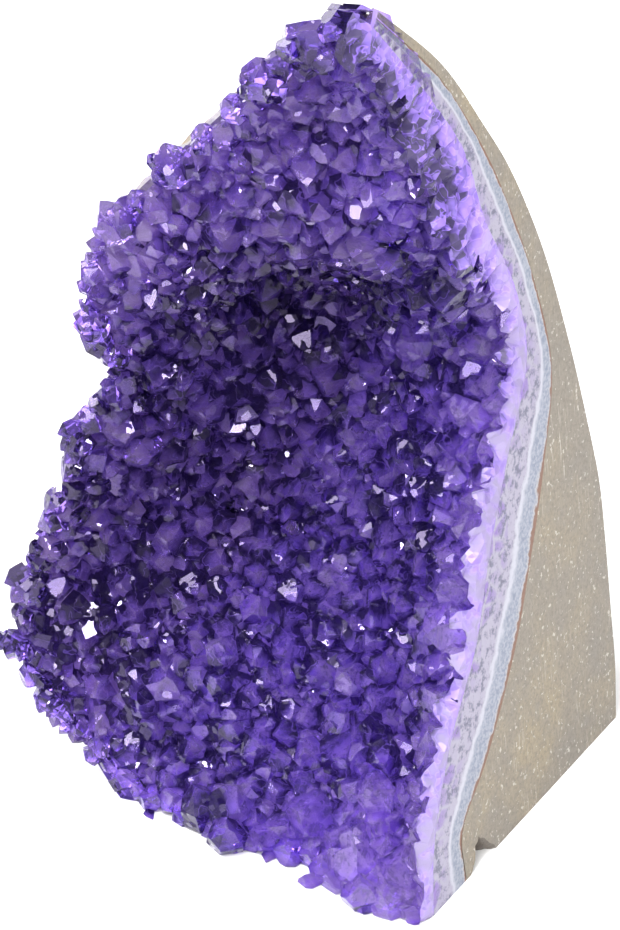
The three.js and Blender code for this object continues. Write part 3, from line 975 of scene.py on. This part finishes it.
class GeodeFinish(bpy.types.PropertyGroup):
    """Colours of the geode's stones."""

    clear_lilac: stone_colour("Clear lilac", "Amethyst at its palest", (0.64, 0.48, 0.97))
    milky_lilac: stone_colour("Milky lilac", "Crystal roots on the sawn side", (0.44, 0.385, 0.58))
    shine: stone_colour("Shine", "Tint of the crystal faces' shine", (0.76, 0.64, 1.0))
    lilac: stone_colour("Lilac", "Amethyst near the rim", (0.62, 0.43, 1.0))
    purple: stone_colour("Purple", "Amethyst in the hollow", (0.45, 0.26, 1.0))
    deep_purple: stone_colour("Deep purple", "Amethyst at its deepest", (0.25, 0.145, 0.70))
    # Painted shade: the darkest end of the amethyst's colours, reached between the crystals and under the
    # swellings
    shade_purple: stone_colour("Shade purple", "Amethyst between the crystals", (0.034, 0.022, 0.10))
    quartz: stone_colour("Quartz", "Milky quartz under the crystals", (0.372, 0.346, 0.45))
    stained_quartz: stone_colour("Stained quartz", "Quartz with a lilac stain", (0.24, 0.152, 0.448))
    quartz_specks: stone_colour("Quartz specks", "Blue-grey specks in the quartz", (0.112, 0.115, 0.185))
    dusty_quartz: stone_colour("Dusty quartz", "Quartz at the broken edge", (0.21, 0.18, 0.185))
    white_line: stone_colour("White line", "Line between quartz and agate", (0.50, 0.50, 0.58))
    agate: stone_colour("Agate", "Blue-grey agate", (0.33, 0.35, 0.43))
    pale_agate: stone_colour("Pale agate", "Agate next to the rusty line", (0.46, 0.45, 0.47))
    agate_shade: stone_colour("Agate shade", "Between the agate's fibres", (0.18, 0.21, 0.29))
    rust: stone_colour("Rust line", "Line between agate and rock", (0.20, 0.09, 0.055))
    basalt: stone_colour("Basalt", "Sawn basalt", (0.272, 0.239, 0.198))
    ochre: stone_colour("Ochre", "Yellowish patches in the basalt", (0.335, 0.278, 0.192))
    grey_basalt: stone_colour("Grey basalt", "Grey patches in the basalt", (0.25, 0.23, 0.205))
    dark_grain: stone_colour("Dark grain", "Dark grains of the basalt", (0.17, 0.145, 0.12))
    pale_specks: stone_colour("Pale specks", "Pale specks and scratches", (0.64, 0.60, 0.53))
    broken_basalt: stone_colour("Broken basalt", "Basalt where it is broken", (0.21, 0.185, 0.17))
    brown_stain: stone_colour("Brown stain", "Weathered parts of the broken rock", (0.27, 0.20, 0.135))


class NodeBench:
    """Puts nodes into a material's tree and links them."""

    def __init__(self, name):
        self.material = bpy.data.materials.new(name)
        self.material.use_nodes = True
        self.tree = self.material.node_tree
        self.tree.nodes.clear()
        self.output = self.tree.nodes.new("ShaderNodeOutputMaterial")

    def add(self, kind, inputs=None, **settings):
        """A node of a kind: an input that is a socket is linked, any other is set."""
        node = self.tree.nodes.new("ShaderNode" + kind)
        for name, value in settings.items():
            setattr(node, name, value)
        for name, value in (inputs or {}).items():
            if isinstance(value, bpy.types.NodeSocket):
                self.tree.links.new(value, node.inputs[name])
            else:
                node.inputs[name].default_value = value
        return node

    def attribute(self, name):
        """A number that the mesh stores."""
        return self.add("Attribute", attribute_name=name).outputs["Fac"]

    def math(self, operation, a, b=0.0, clamp=False):
        """Two numbers put together by an operation."""
        return self.add("Math", {0: a, 1: b}, operation=operation, use_clamp=clamp).outputs[0]

    def span(self, value, low, high, start=0.0, end=1.0):
        """A value carried from one range to another, and kept inside it."""
        inputs = {"Value": value, "From Min": low, "From Max": high, "To Min": start, "To Max": end}
        return self.add("MapRange", inputs).outputs["Result"]

    def noise(self, place, scale, detail=3.0, roughness=0.55):
        """Cloudy noise from about 0 to 1."""
        inputs = {"Vector": place, "Scale": scale, "Detail": detail, "Roughness": roughness}
        return self.add("TexNoise", inputs).outputs["Fac"]

    def blend(self, factor, a, b):
        """Two colours mixed by a factor."""
        node = self.add("Mix", data_type="RGBA")
        for index, value in ((0, factor), (6, a), (7, b)):
            if isinstance(value, bpy.types.NodeSocket):
                self.tree.links.new(value, node.inputs[index])
            elif index == 0:
                node.inputs[0].default_value = value
            else:
                node.inputs[index].default_value = (*value, 1)
        return node.outputs[2]

    def ramp(self, factor, stops):
        """A colour from the stops along a factor."""
        node = self.add("ValToRGB", {"Fac": factor})
        elements = node.color_ramp.elements
        while len(elements) < len(stops):
            elements.new(0.5)
        for element, (place, colour) in zip(elements, stops):
            element.position = place
            element.color = (*colour, 1)
        return node.outputs["Color"]

    def bump(self, height, strength, distance):
        """A normal that looks like the slope of a height."""
        inputs = {"Height": height, "Strength": strength, "Distance": distance}
        return self.add("Bump", inputs).outputs["Normal"]

    def place(self):
        """The place on the piece, in metres of the shared frame."""
        return self.add("TexCoord").outputs["Object"]

    def plain_finish(self, colour, rough, normal, ior):
        """The finish of an opaque stone."""
        inputs = {"Base Color": colour, "Roughness": rough, "Normal": normal, "IOR": ior}
        return self.finish(self.add("BsdfPrincipled", inputs).outputs[0])

    def finish(self, shader, volume=None):
        """Links the shader, and the volume where there is one, and gives the material."""
        self.tree.links.new(shader, self.output.inputs["Surface"])
        if volume:
            self.tree.links.new(volume, self.output.inputs["Volume"])
        return self.material


def amethyst_finish(finish):
    """Amethyst: clear crystal that is coloured by depth, with pale veils. Its faces are broken into small
    growth faces that tilt a little, and where it is sawn it is matt."""
    bench = NodeBench("amethyst")
    place = bench.place()
    depth = bench.attribute("depth")
    sawn = bench.attribute("sawn")
    cloud = bench.noise(place, 260.0, 2.0)
    growth = bench.add("TexVoronoi", {"Vector": place, "Scale": 700.0}).outputs["Color"]
    depth = bench.math("ADD", depth, bench.span(cloud, 0.3, 0.7, -0.2, 0.2))
    pallor = bench.math("POWER", bench.attribute("tone"), 2.5)
    depth = bench.math("ADD", depth, bench.span(pallor, 0.0, 1.0, 0.24, -0.66))
    veil = bench.math("ABSOLUTE", bench.math("SUBTRACT", cloud, 0.52))
    depth = bench.math("SUBTRACT", depth, bench.span(veil, 0.02, 0.0, 0.0, 0.3))
    parts = bench.add("SeparateColor", {0: growth}).outputs
    cell = bench.span(parts[0], 0.0, 1.0, -0.2, 0.2)
    depth = bench.math("ADD", depth, bench.math("MULTIPLY", cell, sawn), clamp=True)
    # The deepest stop is painted shade, for the gaps between the crystals and the hollows under the swellings
    stops = (
        (0.0, finish.clear_lilac), (0.28, finish.lilac), (0.56, finish.purple), (0.82, finish.deep_purple),
        (1.0, finish.shade_purple),
    )
    colour = bench.ramp(depth, stops)
    height = bench.add("SeparateXYZ", {0: place}).outputs[2]
    milky = bench.math("MULTIPLY", sawn, bench.span(cloud, 0.4, 0.6, 0.95, 0.35))
    milky = bench.math("MULTIPLY", milky, bench.span(height, 0.085, 0.115, 1.0, 0.2))
    colour = bench.blend(milky, colour, finish.milky_lilac)
    tilt = bench.add("VectorMath", {0: growth, 1: (0.5, 0.5, 0.5)}, operation="SUBTRACT").outputs[0]
    patchy = bench.span(cloud, 0.42, 0.62, 0.0, 0.4)
    steep = bench.math("MAXIMUM", patchy, bench.span(parts[2], 0.86, 0.9, 0.0, 0.95))
    tilt = bench.add("VectorMath", {0: tilt, "Scale": steep}, operation="SCALE").outputs[0]
    face = bench.add("NewGeometry").outputs["Normal"]
    tipped = bench.add("VectorMath", {0: face, 1: tilt}, operation="ADD").outputs[0]
    tipped = bench.add("VectorMath", {0: tipped}, operation="NORMALIZE").outputs[0]
    rough = bench.math("ADD", bench.span(cloud, 0.3, 0.7, 0.06, 0.02), bench.math("MULTIPLY", sawn, 0.2))
    clear = bench.math("SUBTRACT", 0.9, bench.math("MULTIPLY", sawn, 0.6))
    shader = bench.add("BsdfPrincipled", {
        "Base Color": colour, "Roughness": rough, "Normal": tipped, "IOR": AMETHYST_IOR,
        "Transmission Weight": clear, "Specular Tint": (*finish.shine, 1),
    }, distribution="GGX")
    volume = bench.add("VolumeAbsorption", ABSORPTION)
    return bench.finish(shader.outputs[0], volume.outputs[0])


def rind_finish(finish):
    """The rind from the crystals to the rock: speckled milky quartz, a thin white line, fibrous blue-grey
    agate and a rusty line. At the broken edge it is dusty and rough."""
    bench = NodeBench("agate")
    place = bench.place()
    layer = bench.attribute("layer")
    ragged = bench.noise(place, 330.0, 4.0, 0.65)
    wander = bench.span(bench.noise(place, 90.0, 2.0), 0.25, 0.75, -0.06, 0.06)
    wander = bench.math("ADD", wander, bench.span(ragged, 0.25, 0.75, -0.05, 0.05))
    broken = bench.attribute("broken")
    wander = bench.math("MULTIPLY", wander, bench.span(broken, 0.0, 1.0, 1.0, 2.6))
    level = bench.math("ADD", layer, wander)
    stops = (
        (0.0, finish.quartz), (0.50, finish.quartz), (0.55, finish.white_line),
        (0.59, finish.white_line), (0.65, finish.agate), (0.88, finish.agate), (0.93, finish.pale_agate),
        (0.955, finish.rust), (1.0, finish.rust),
    )
    colour = bench.ramp(level, stops)
    in_quartz = bench.span(level, 0.56, 0.46)
    cell = {"Vector": place, "Scale": 270.0, "Randomness": 1.0}
    roots = bench.add("TexVoronoi", cell, feature="DISTANCE_TO_EDGE").outputs["Distance"]
    root_tone = bench.add("SeparateColor", {0: bench.add("TexVoronoi", cell).outputs["Color"]}).outputs[0]
    roots = bench.math("MULTIPLY", bench.span(roots, 0.03, 0.16), bench.span(root_tone, 0.15, 0.75))
    roots = bench.math("MULTIPLY", roots, bench.span(level, 0.05, 0.5, 1.0, 0.0))
    colour = bench.blend(roots, colour, finish.stained_quartz)
    specks = bench.span(bench.noise(place, 560.0, 4.0, 0.75), 0.49, 0.6)
    specks = bench.math("MULTIPLY", specks, bench.math("MULTIPLY", in_quartz, 0.9))
    colour = bench.blend(specks, colour, finish.quartz_specks)
    fibres = bench.noise(place, 1500.0, 3.0, 0.6)
    in_agate = bench.math("MULTIPLY", bench.span(level, 0.6, 0.7), bench.span(level, 0.96, 0.90))
    shade = bench.math("MULTIPLY", in_agate, bench.span(fibres, 0.40, 0.62, 0.0, 0.8))
    colour = bench.blend(shade, colour, finish.agate_shade)
    dust = bench.math("MULTIPLY", bench.span(ragged, 0.36, 0.6, 0.4, 0.95), broken)
    colour = bench.blend(dust, colour, finish.dusty_quartz)
    height = bench.math("ADD", fibres, bench.math("MULTIPLY", ragged, bench.math("MULTIPLY", broken, 6.0)))
    normal = bench.bump(height, 0.25, 0.0003)
    rough = bench.span(fibres, 0.3, 0.7, 0.3, 0.55)
    return bench.plain_finish(colour, rough, normal, AGATE_IOR)


def basalt_finish(finish):
    """Basalt: sawn, it is smooth and beige-grey with yellowish and grey patches, dark grain, pale specks and
    scratches; broken, it is rough, darker and stained."""
    bench = NodeBench("basalt")
    place = bench.place()
    broken = bench.attribute("broken")
    clouds = bench.noise(place, 42.0, 5.0, 0.6)
    colour = bench.blend(bench.span(clouds, 0.44, 0.64), finish.basalt, finish.ochre)
    blotches = bench.noise(place, 150.0, 4.0, 0.6)
    colour = bench.blend(bench.span(blotches, 0.50, 0.68, 0.0, 0.6), colour, finish.grey_basalt)
    grain = bench.noise(place, 1300.0, 4.0, 0.75)
    colour = bench.blend(bench.span(grain, 0.44, 0.66, 0.0, 0.65), colour, finish.dark_grain)
    specks = bench.span(bench.noise(place, 1100.0, 2.0), 0.63, 0.70, 0.0, 0.7)
    colour = bench.blend(specks, colour, finish.pale_specks)
    worn = bench.span(blotches, 0.55, 0.40, 0.0, 0.45)
    for turn, reach in SCRATCHES:
        along = bench.add("Mapping", {"Vector": place, "Rotation": (turn, 0, 0), "Scale": SCRATCH_SCALE})
        lines = bench.span(bench.noise(along.outputs[0], 1.0, 2.0), reach, reach + SCRATCH_EDGE)
        colour = bench.blend(bench.math("MULTIPLY", lines, worn), colour, finish.pale_specks)
    rough_colour = bench.blend(bench.span(clouds, 0.4, 0.62), finish.broken_basalt, finish.brown_stain)
    rough_colour = bench.blend(bench.span(blotches, 0.48, 0.62, 0.0, 0.7), rough_colour, finish.grey_basalt)
    rough_colour = bench.blend(bench.span(grain, 0.38, 0.62, 0.0, 0.75), rough_colour, finish.dark_grain)
    colour = bench.blend(broken, colour, rough_colour)
    lumps = bench.math("MULTIPLY", blotches, bench.span(broken, 0.0, 1.0, 0.0, 4.0))
    height = bench.math("ADD", grain, lumps)
    height = bench.math("MULTIPLY", height, bench.span(broken, 0.0, 1.0, 0.15, 1.0))
    normal = bench.bump(height, 0.7, 0.0006)
    rough = bench.span(broken, 0.0, 1.0, 0.55, 0.9)
    return bench.plain_finish(colour, rough, normal, BASALT_IOR)


def give(piece, material, node):
    """Hands a piece its material and its place on the frame."""
    piece.data.materials.clear()
    piece.data.materials.append(material)
    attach(piece, "root")
    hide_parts(node)


class GEODE_OT_rock(bpy.types.Operator):
    """Makes the block of basalt behind the hollow"""

    bl_idname = "geode.rock"
    bl_label = "Make the rock"

    around_count = 432
    face_rings = 10
    wall_rings = 20
    back_rings = 96
    side_fade = (0, 10)
    back_peak_fade = (156, 136)
    back_level = 0.4
    wall_peak_fade = (158, 135)
    wall_level = 0.7
    chip_around_count = 48
    chip_rings = 16
    chip_grain = 3
    chip_octaves = 3
    chip_seed = 3
    chip_roughness = 0.9

    def execute(self, context):
        height = context.scene.geode_form.rock_height / MM
        around = np.arange(self.around_count) / self.around_count
        face = self.face(around)
        back = self.back(around, height)
        wall = self.wall(face[-1], back[-1], around, height)
        middle = np.zeros(1)
        poles = behind_rock_face(middle, middle, LAYER_GAP / 2)[0], back[0].mean(axis=0)
        vertices, faces = closed_surface(np.concatenate((face, wall, back[::-1])), *poles)
        piece = new_piece("basalt_block", vertices, faces)
        on_back = np.zeros((len(face) + len(wall) + len(back) - 1, self.around_count))
        on_back[len(face) + len(wall):] = 1
        on_back[len(face):len(face) + len(wall)] = (around > PEAK) & (around < FOOT)
        ends = np.zeros(self.around_count), np.ones(self.around_count)
        set_attribute(piece.data, "broken", "FACE", np.concatenate((ends[0], on_back.ravel(), ends[1])))
        join_solids(piece, [self.chip()], "DIFFERENCE")
        piece.data.shade_smooth()
        piece.data.set_sharp_from_angle(angle=SHARP_ANGLE)
        give(piece, basalt_finish(context.scene.geode_finish), "basalt_matrix")
        return {"FINISHED"}

    def face(self, around):
        """Rings of the face behind the rind, from the middle to the rim."""
        reach = np.arange(1, self.face_rings + 1)[:, None] / self.face_rings
        shape = (self.face_rings, self.around_count)
        reach, around = np.broadcast_to(reach, shape), np.broadcast_to(around, shape)
        return behind_rock_face(reach, around, LAYER_GAP / 2)

    def back(self, around, height):
        """Rings of the broken back, lifted by the relief: less at the saw cut and at the peak, and never so
        deep that too little rock is left."""
        reach = np.arange(1, self.back_rings + 1)[:, None] / self.back_rings
        shape = (self.back_rings, self.around_count)
        back = rough_back(np.broadcast_to(reach, shape), np.broadcast_to(around, shape))
        fade = smooth_step(*self.side_fade, -(back @ SIDE_NORMAL))
        fade = fade * smooth_step(*self.back_peak_fade, back[..., 2])
        lift = (broken_relief(back, ROCK_SEED) - self.back_level) * height * fade
        room = np.maximum(nearest_distance(back, self.face(around)) - LEAST_ROCK, 0)
        lift = np.maximum(lift, -room)
        return back + flat_ways(back, unit(back - ROCK_MIDDLE)) * lift[..., None]

    def wall(self, start, end, around, height):
        """Rings of the wall between the face and the back: flat where sawn, rough where broken."""
        share = (np.arange(1, self.wall_rings) / self.wall_rings)[:, None, None]
        wall = mix(start, end, share)
        swell = on_left_edge(around) * np.sin(np.pi * share[..., 0]) ** 0.5
        swell = swell * smooth_step(*self.wall_peak_fade, wall[..., 2])
        lift = (broken_relief(wall, ROCK_SEED) - self.wall_level) * swell * height
        return wall + flat_ways(wall, unit(wall - ROCK_MIDDLE)) * lift[..., None]

    def chip(self):
        """The chip to cut out: rings from its root to its three-cornered mouth, with rough sides."""
        mouth = on_side(CHIP_MOUTH) + SIDE_NORMAL * CHIP_PROUD
        root = (mouth[0] + mouth[1]) / 2 - SIDE_NORMAL * (CHIP_DEPTH + CHIP_PROUD)
        turn = np.arange(self.chip_around_count) * 3 / self.chip_around_count
        corner = turn.astype(int)
        edge = mix(mouth[corner], mouth[(corner + 1) % 3], (turn - corner)[:, None])
        share = (np.arange(1, self.chip_rings + 1) / self.chip_rings)[:, None, None]
        sides = mix(root, edge, share)
        roughness = rough_noise(sides, self.chip_grain, self.chip_octaves, self.chip_seed)
        roughness = roughness * self.chip_roughness
        sides = sides + roughness[..., None] * unit(edge - edge.mean(axis=0))
        vertices, faces = closed_surface(sides, root, sides[-1].mean(axis=0))
        piece = new_piece("chip", vertices, faces)
        set_attribute(piece.data, "broken", "FACE", np.ones(len(faces)))
        return piece


class GEODE_OT_rind(bpy.types.Operator):
    """Makes the layer of agate and milky quartz between the rock and the crystals"""

    bl_idname = "geode.rind"
    bl_label = "Make the rind"

    around_count = 432
    face_rings = 26
    wall_rings = 18
    front_offsets = (-0.6, -0.1)
    front_fade = 12
    back_offset = -0.02
    edge_height = 1.5
    edge_grain = 5
    edge_octaves = 4
    edge_seed = 17

    def execute(self, context):
        rings, front, back = shell_between(
            self.front,
            lambda reach, around: behind_rock_face(reach, around, self.back_offset),
            self.around_count, self.face_rings, self.wall_rings,
        )
        share = np.arange(1, self.wall_rings) / self.wall_rings
        broken = on_left_edge(np.arange(self.around_count) / self.around_count)
        wall = slice(self.face_rings, self.face_rings + self.wall_rings - 1)
        noise = rough_noise(rings[wall], self.edge_grain, self.edge_octaves, self.edge_seed)
        lift = self.edge_height * noise
        lift = lift * broken * np.sin(np.pi * share)[:, None] ** 0.5
        rings[wall] += flat_ways(rings[wall], unit(rings[wall] - ROCK_MIDDLE)) * lift[..., None]
        vertices, faces = closed_surface(rings, front, back)
        piece = new_piece("agate_rind_band", vertices, faces)
        layer = np.concatenate((np.zeros(self.face_rings), share, np.ones(self.face_rings)))
        layer = np.concatenate(((0,), np.repeat(layer, self.around_count), (1,)))
        set_attribute(piece.data, "layer", "POINT", layer)
        broken = np.concatenate(((0,), np.tile(broken, len(rings)), (0,)))
        set_attribute(piece.data, "broken", "POINT", broken)
        piece.data.shade_smooth()
        piece.data.set_sharp_from_angle(angle=SHARP_ANGLE)
        give(piece, rind_finish(context.scene.geode_finish), "agate_rind")
        return {"FINISHED"}

    def front(self, reach, around):
        """The rind's front: a little inside the crust, so that no gap shows, and nearly at the seat by the
        rim."""
        return behind_seat(reach, around, mix(*self.front_offsets, reach ** self.front_fade)[..., None])


class GEODE_OT_crystals(bpy.types.Operator):
    """Grows the crust of crystals in the hollow"""

    bl_idname = "geode.crystals"
    bl_label = "Grow the crystals"

    around_count = 144
    face_rings = 20
    wall_rings = 3
    wall_reach = 1.1

    def execute(self, context):
        form = context.scene.geode_form
        rings, front, back = shell_between(
            lambda reach, around: crust_front(reach * brim(around), around),
            lambda reach, around: behind_seat(reach * brim(around), around, -LAYER_GAP / 2),
            self.around_count, self.face_rings, self.wall_rings,
        )
        vertices, faces = closed_surface(rings, front, back)
        piece = new_piece("amethyst_crystals", vertices, faces)
        # Painted shade: the bed between the crystals is coloured deeper than the crystals around it
        shaded_bed_depth = np.clip(colour_and_shade_depth(vertices) + BED_SHADE, 0, 1)
        set_attribute(piece.data, "depth", "CORNER", shaded_bed_depth[corner_vertices(piece.data)])
        set_attribute(piece.data, "tone", "FACE", np.full(len(faces), MIDDLE_TONE))
        set_attribute(piece.data, "sawn", "FACE", np.zeros(len(faces)))
        crystals = sow_crystals(form)
        chances = number_stream(POINT_SEED, POINT_KINDS * 2 * PRISM_SIDES).reshape(POINT_KINDS, -1)
        kinds = [quartz_point(chance) for chance in chances]
        kind_of = np.arange(len(crystals["size"])) % POINT_KINDS
        size = crystals["size"]
        low = -ROOT_DEPTH * size
        half = (crystals["height"] - low) / 2
        centre = crystals["at"] + crystals["turn"][:, 2] * (low + half)[:, None]
        group = groups_apart(centre, np.hypot(half, PRISM_GIRTH * size))
        groups = [
            crystal_group(f"group_{number}", crystals, np.flatnonzero(group == number), kinds, kind_of)
            for number in range(group.max() + 1)
        ]
        join_solids(piece, groups, "UNION")
        join_solids(piece, [self.behind()], "DIFFERENCE")
        peak = peak_crystals()
        tops = [
            crystal_group(f"peak_{number}", peak, np.array([number]), kinds, kind_of)
            for number in range(len(PEAK_CRYSTALS))
        ]
        join_solids(piece, tops, "UNION")
        join_solids(piece, self.cuts(), "DIFFERENCE")
        keep_largest(piece.data)
        piece.data.shade_flat()
        give(piece, amethyst_finish(context.scene.geode_finish), "amethyst_crust")
        return {"FINISHED"}

    def cuts(self):
        """What is cut off the crust: all beyond the sawn side and all below the base. The sawn side's depth
        of colour grows from the seat to the hollow."""
        vertices, faces, spots = side_saw(SAW_PACE, SAW_THICKNESS)
        ahead = ahead_of_seat(spots)
        chance = number_stream(SAW_SEED, len(spots))
        broken = smooth_step(*BREAK_REACH, ahead) * (BREAK_DEPTH[0] + BREAK_DEPTH[1] * chance ** BREAK_BEND)
        vertices[:len(spots)] -= SIDE_NORMAL * broken[:, None]
        side = new_piece("side_saw", vertices, faces.tolist())
        top = smooth_step(*SAWN_DEPTH_HEIGHTS, spots[:, 1])
        inwards = smooth_step(0, mix(*SAWN_DEPTH_REACH, top), ahead)
        depth = SAWN_DEPTH + SAWN_DEPTH_RISE * top + SAWN_DEPTH_INWARDS * inwards
        depth = np.tile(depth + SAWN_DEPTH_SPREAD * (chance - 0.5), 2)
        set_attribute(side.data, "depth", "CORNER", depth[corner_vertices(side.data)])
        down = np.array((0, 0, -1.0))
        base = block_beyond(-LAYER_GAP * down, down, BASE_BLOCK)
        set_attribute(base.data, "depth", "CORNER", np.full(len(base.data.loops), SAWN_DEPTH))
        for cut in (side, base):
            set_attribute(cut.data, "sawn", "FACE", np.ones(len(cut.data.polygons)))
            set_attribute(cut.data, "tone", "FACE", np.full(len(cut.data.polygons), MIDDLE_TONE))
        return side, base

    def behind(self):
        """All that lies behind the crust, with its wall carried outwards past the rim."""
        around = np.arange(self.around_count) / self.around_count
        edge = np.full(self.around_count, self.wall_reach)
        reach = np.arange(1, self.face_rings + 1)[:, None] / self.face_rings
        spread = np.broadcast_to(around, (self.face_rings, self.around_count))
        face = behind_seat(np.broadcast_to(reach, spread.shape), spread, -LAYER_GAP / 2)
        wall = np.stack((
            behind_seat(edge, around, -LAYER_GAP / 2),
            behind_seat(edge, around, LAYER_GAP / 2),
            behind_rock_face(edge, around, LAYER_GAP / 2),
        ))
        back = rough_back(np.broadcast_to(reach[::-1], spread.shape), spread)
        middle = np.zeros(1)
        poles = behind_seat(middle, middle, -LAYER_GAP / 2)[0], rough_back(middle, middle)[0]
        vertices, faces = closed_surface(np.concatenate((face, wall, back)), *poles)
        piece = new_piece("behind", vertices, faces)
        set_attribute(piece.data, "depth", "CORNER", np.full(len(piece.data.loops), HIDDEN_COLOUR))
        set_attribute(piece.data, "sawn", "FACE", np.zeros(len(faces)))
        set_attribute(piece.data, "tone", "FACE", np.full(len(faces), MIDDLE_TONE))
        return piece


class GEODE_OT_stage(bpy.types.Operator):
    """Sets up the pale floor, the soft light and the camera"""

    bl_idname = "geode.stage"
    bl_label = "Set the stage"

    def execute(self, context):
        scene = context.scene
        self.floor()
        for name, azimuth, elevation, distance, size, power in LIGHTS:
            self.light(name, azimuth, elevation, distance, size, power)
        self.surroundings(scene)
        self.camera(scene)
        scene.view_settings.view_transform = "Standard"
        for name, value in RAY_SETTINGS:
            setattr(scene.cycles, name, value)
        return {"FINISHED"}

    def surroundings(self, scene):
        """Pale walls around the floor that grow dimmer upwards."""
        world = bpy.data.worlds.new("studio")
        world.use_nodes = True
        tree = world.node_tree
        way = tree.nodes.new("ShaderNodeTexCoord")
        parts = tree.nodes.new("ShaderNodeSeparateXYZ")
        span = tree.nodes.new("ShaderNodeMapRange")
        for name, value in WALL_STRENGTH:
            span.inputs[name].default_value = value
        tree.links.new(way.outputs["Generated"], parts.inputs[0])
        tree.links.new(parts.outputs["Z"], span.inputs["Value"])
        tree.links.new(span.outputs["Result"], tree.nodes["Background"].inputs["Strength"])
        tree.nodes["Background"].inputs["Color"].default_value = (1, 1, 1, 1)
        scene.world = world

    def floor(self):
        """A round floor of pale paper."""
        mesh = bpy.data.meshes.new("floor")
        turn = np.arange(FLOOR_CORNERS) * 2 * math.pi / FLOOR_CORNERS
        edge = np.stack((np.cos(turn), np.sin(turn), np.zeros(FLOOR_CORNERS)), axis=-1) * FLOOR_RADIUS
        mesh.from_pydata(edge.tolist(), [], [list(range(FLOOR_CORNERS))])
        floor = bpy.data.objects.new("floor", mesh)
        bpy.context.scene.collection.objects.link(floor)
        bench = NodeBench("paper")
        grain = bench.noise(bench.place(), FLOOR_GRAIN)
        colour = bench.ramp(grain, FLOOR_TONES)
        shader = bench.add("BsdfPrincipled", {"Base Color": colour, "Roughness": FLOOR_ROUGHNESS})
        mesh.materials.append(bench.finish(shader.outputs[0]))

    def light(self, name, azimuth, elevation, distance, size, power):
        """A round panel of light that faces the hollow from the given direction."""
        lamp = bpy.data.lights.new(name, "AREA")
        lamp.shape = "DISK"
        lamp.size = size
        lamp.energy = power
        light = bpy.data.objects.new(name, lamp)
        turn, rise = math.radians(azimuth), math.radians(elevation)
        way = np.array((math.sin(turn) * math.cos(rise), -math.cos(turn) * math.cos(rise), math.sin(rise)))
        light.location = LIGHTS_AIM + way * distance
        light.rotation_euler = (math.pi / 2 - rise, 0, turn)
        bpy.context.scene.collection.objects.link(light)

    def camera(self, scene):
        """The camera: above the front and to its right, without tilt."""
        lens = bpy.data.cameras.new("camera")
        lens.sensor_fit = "VERTICAL"
        lens.sensor_height = CAMERA_FILM
        lens.lens = CAMERA_LENS
        camera = bpy.data.objects.new("camera", lens)
        camera.location = CAMERA_PLACE
        camera.rotation_euler = (math.pi / 2 - CAMERA_ELEVATION, 0, CAMERA_AZIMUTH)
        scene.collection.objects.link(camera)
        scene.camera = camera


class GEODE_PT_panel(bpy.types.Panel):
    """Lists the geode's pieces and settings"""

    bl_idname = "GEODE_PT_panel"
    bl_label = "Amethyst geode"
    bl_space_type = "VIEW_3D"
    bl_region_type = "UI"
    bl_category = "Geode"

    def draw(self, context):
        for operator in OPERATORS:
            self.layout.operator(operator.bl_idname)
        for group in (context.scene.geode_form, context.scene.geode_finish):
            box = self.layout.box()
            for name in group.__annotations__:
                box.prop(group, name)


GROUPS = (GeodeForm, GeodeFinish)
OPERATORS = (GEODE_OT_rock, GEODE_OT_rind, GEODE_OT_crystals, GEODE_OT_stage)
CLASSES = GROUPS + OPERATORS + (GEODE_PT_panel,)


def register():
    for each in CLASSES:
        bpy.utils.register_class(each)
    bpy.types.Scene.geode_form = bpy.props.PointerProperty(type=GeodeForm)
    bpy.types.Scene.geode_finish = bpy.props.PointerProperty(type=GeodeFinish)


def unregister():
    del bpy.types.Scene.geode_finish
    del bpy.types.Scene.geode_form
    for each in reversed(CLASSES):
        bpy.utils.unregister_class(each)


def main():
    register()
    bpy.ops.geode.rock()
    bpy.ops.geode.rind()
    bpy.ops.geode.crystals()
    bpy.ops.geode.stage()
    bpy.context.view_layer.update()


if __name__ == "__main__":
    main()
